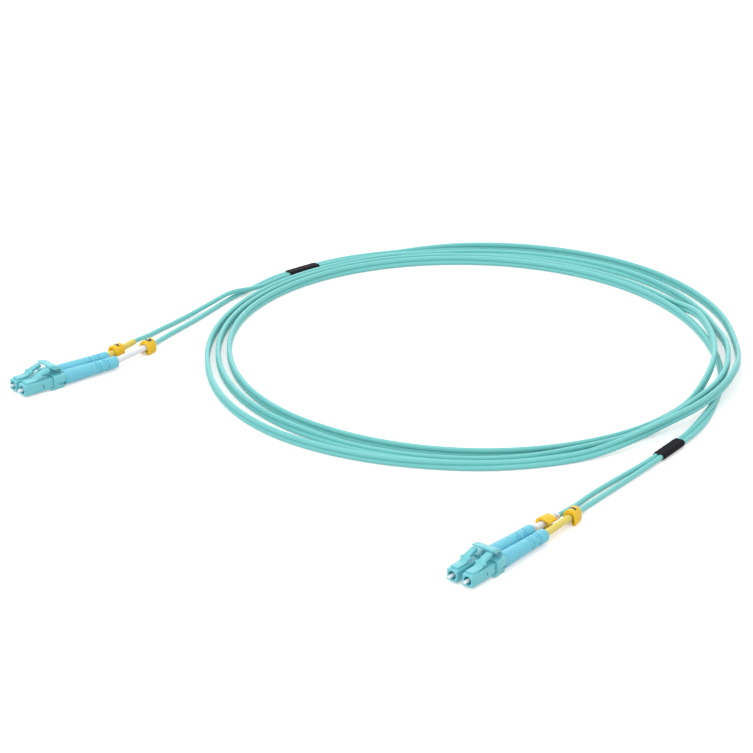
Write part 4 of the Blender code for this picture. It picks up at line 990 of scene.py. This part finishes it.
def trigger_skin():
    """Trigger about its hinge line."""
    line = smooth_line(TRIGGER_UPPER, TRIGGER_STEPS) + smooth_line(TRIGGER_LOWER, TRIGGER_STEPS)[::-1]
    outline = [(y * MM - TRIGGER_ORIGIN[0], z * MM - TRIGGER_ORIGIN[1]) for y, z in line]
    return slab("trigger", outline, -TRIGGER_HALF, TRIGGER_HALF, "X", TRIGGER_ROUND, 2)


trigger_mesh = trigger_skin()
for end, pose in connectors.items():
    show(f"{end}_trigger_plate", trigger_mesh.copy(), shell, f"{end}_trigger",
         [f"{end}_trigger"], pose @ Matrix.Translation((0, *TRIGGER_ORIGIN)))

# ---- Boots: sky blue strain reliefs in a softer plastic, pushed over the crimp sleeves ----
# Barely tapered, with two pairs of slotted rows that let it flex before a plain cuff. Each boot is
# turned its own way on its plug.
BOOT_WIDTHS = ((19.3, 5.82), (21.0, 5.82), (24.0, 5.7), (28.0, 5.46), (32.0, 5.26), (36.0, 5.06),
               (39.5, 4.95))
BOOT_TAPER_PLACES = range(21, 40, 2)
BOOT_SPIN = 64
BOOT_FRONT, BOOT_REAR = BOOT_WIDTHS[0][1] * MM, BOOT_WIDTHS[-1][1] * MM
BOOT_MOUTH = 3.8 * MM
BOOT_EDGE = 0.22 * MM
BOOT_BORE = 2.9 * MM
COLLAR_BORE, CRIMP_BORE = 4.26 * MM, 3.58 * MM
COLLAR_END, CRIMP_END = 20.4 * MM, 24.98 * MM
MOUTH_DEPTH = 3.4 * MM
SLOT_ROWS = ((40.65, 0), (39.25, 90), (36.5, 0), (35.1, 90))
SLOT_WIDTH, SLOT_DEPTH = 0.4 * MM, 0.3 * MM
SLOT_SPAN = 142
SLOT_ROUND = 0.11 * MM
SLOT_STEPS = 20
BOOT_ROLL = {"a1": 32, "a2": 81, "b1": 1, "b2": 57}
BOOT_BLUE = (0.165, 0.600, 0.745)


def boot_skin():
    """Revolved boot with its flex slots cut and their edges eased."""
    front, rear = BOOT_FRONT / 2, BOOT_REAR / 2
    edge, bow = BOOT_EDGE, BOOT_EDGE * 0.3
    taper = [(y * MM, smooth_value(BOOT_WIDTHS, y) * MM / 2) for y in BOOT_TAPER_PLACES]
    body = turned("boot", [
        (BOOT_START, COLLAR_BORE / 2), (BOOT_START, front - edge), (BOOT_START + bow, front - bow),
        (BOOT_START + edge, front)] + taper + [
        (BOOT_END - edge, rear), (BOOT_END - bow, rear - bow), (BOOT_END, rear - edge),
        (BOOT_END, BOOT_MOUTH / 2 + edge / 2), (BOOT_END - edge / 2, BOOT_MOUTH / 2),
        (BOOT_END - MOUTH_DEPTH, BOOT_MOUTH / 2), (BOOT_END - MOUTH_DEPTH - edge, BOOT_BORE / 2),
        (CRIMP_END, BOOT_BORE / 2), (CRIMP_END, CRIMP_BORE / 2), (COLLAR_END, CRIMP_BORE / 2),
        (COLLAR_END, COLLAR_BORE / 2)], BOOT_SPIN)
    cutters = []
    for place, middle in SLOT_ROWS:
        inner, outer = rear - SLOT_DEPTH, front + CUT_OVER
        for side in (0, 180):
            start, end = middle + side - SLOT_SPAN / 2, middle + side + SLOT_SPAN / 2
            outline = arc(outer, start, end, SLOT_STEPS) + arc(inner, end, start, SLOT_STEPS)
            low = place * MM - SLOT_WIDTH / 2
            cutters.append(slab("slot", outline, low, low + SLOT_WIDTH, "Y"))
    return carved("boot", body, cutters, (), SLOT_ROUND, 2)


boot_blue = moulded("blue_boot", BOOT_BLUE, 0.48, 1100.0, bump=0.07, vary=0.03, sheen=0.6, depth=0.25)
boot_mesh = boot_skin()
for plug, pose in plugs.items():
    skin = boot_mesh.copy()
    skin.transform(Matrix.Rotation(math.radians(-BOOT_ROLL[plug]), 4, "Y"))
    show(f"{plug}_strain_relief", skin, boot_blue, "cord", [f"{plug}_boot"], pose)

# ---- Ferrules: ground white zirconia rods that hold the glass fibre in the middle of a domed tip ----
# Pressed into a nickel-plated flange inside the plug, which a spring pushes forward. The fibre is far
# thinner than a pixel and isn't drawn.
FERRULE_RADIUS = 0.625 * MM
FERRULE_OUT, FERRULE_IN = 1.72 * MM, 7.3 * MM
FERRULE_CHAMFER = 0.16 * MM
FERRULE_DOME = 0.03 * MM
CERAMIC = (0.86, 0.91, 0.96)


def ferrule_skin():
    """Rod with a chamfered, slightly domed tip."""
    dome = [(-FERRULE_OUT - FERRULE_DOME * (1 - share ** 2), (FERRULE_RADIUS - FERRULE_CHAMFER) * share)
            for share in (0.0, 0.35, 0.7, 1.0)]
    side = [(-FERRULE_OUT + FERRULE_CHAMFER, FERRULE_RADIUS), (FERRULE_IN, FERRULE_RADIUS), (FERRULE_IN, 0)]
    return turned("ferrule", dome + side, 40)


zirconia = moulded("zirconia", CERAMIC, 0.18, 1500.0, bump=0.01, vary=0.01, sheen=0.6)
ferrule_mesh = ferrule_skin()
for plug, pose in plugs.items():
    show(f"{plug}_ceramic", ferrule_mesh.copy(), zirconia, f"{plug}_ferrule",
         [f"{plug}_ferrule"], pose)

# ---- Inside the plugs: flange, stop, crimp sleeve and buffered fibre ----
# Turned or drawn metal and one plastic-coated fibre, hidden by the housing and the boot.


def drawn_metal(name, colour, roughness, scale):
    """Metal with fine working marks and an uneven gloss."""
    material = bpy.data.materials.new(name)
    node = nodes_of(material)
    place = node("TexCoord").outputs["Object"]
    marks = node("TexNoise", {"Vector": place, "Scale": scale, "Detail": 4.0})
    shade = node("Mix", {"Factor": marks.outputs["Fac"], 6: tinted(colour, 0.92), 7: tinted(colour, 1.06)},
                 data_type="RGBA")
    gloss = node("MapRange", {"Value": marks.outputs["Fac"], "To Min": roughness - 0.06,
                              "To Max": roughness + 0.1})
    rise = node("Bump", {"Height": marks.outputs["Fac"], "Strength": 0.05, "Distance": 0.05 * MM})
    shader = node("BsdfPrincipled", {"Base Color": shade.outputs[2], "Roughness": gloss.outputs[0],
                                     "Normal": rise.outputs[0], "Metallic": 1.0})
    node("OutputMaterial", {"Surface": shader.outputs[0]})
    return material


inner_finish = {
    "flange": drawn_metal("nickel_flange", (0.62, 0.60, 0.55), 0.28, 2600.0),
    "stop": drawn_metal("turned_steel", (0.64, 0.63, 0.61), 0.3, 2600.0),
    "crimp": drawn_metal("tinned_brass", (0.70, 0.68, 0.62), 0.34, 3000.0),
    "fibre": moulded("fibre_buffer", (0.80, 0.80, 0.78), 0.5, 1800.0, bump=0.04, vary=0.03, sheen=0.4),
}
for plug in plugs:
    for part, finish in inner_finish.items():
        slots = frame["nodes"][f"{plug}_{part}"].data.materials
        slots.clear()
        slots.append(finish)

spring_steel = drawn_metal("spring_steel", (0.60, 0.60, 0.61), 0.24, 4200.0)
for plug, pose in plugs.items():
    wire = frame["nodes"][f"{plug}_spring"].data.copy()
    wire.shade_smooth()
    wound = show(f"{plug}_wound_spring", wire, spring_steel, "cord", [f"{plug}_spring"])
    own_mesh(wound)

# ---- Each leg with the pieces that go with it ----
# Each leg leaves its boot and ends in a heat-shrink; the duplex cord runs from one to the other.
for plug, leg in legs.items():
    goes_with = [sleeves[plug], markers[plug], digits[plug], shrinks[plug[0]]]
    goes_with += [prints[plug]] if plug in prints else []
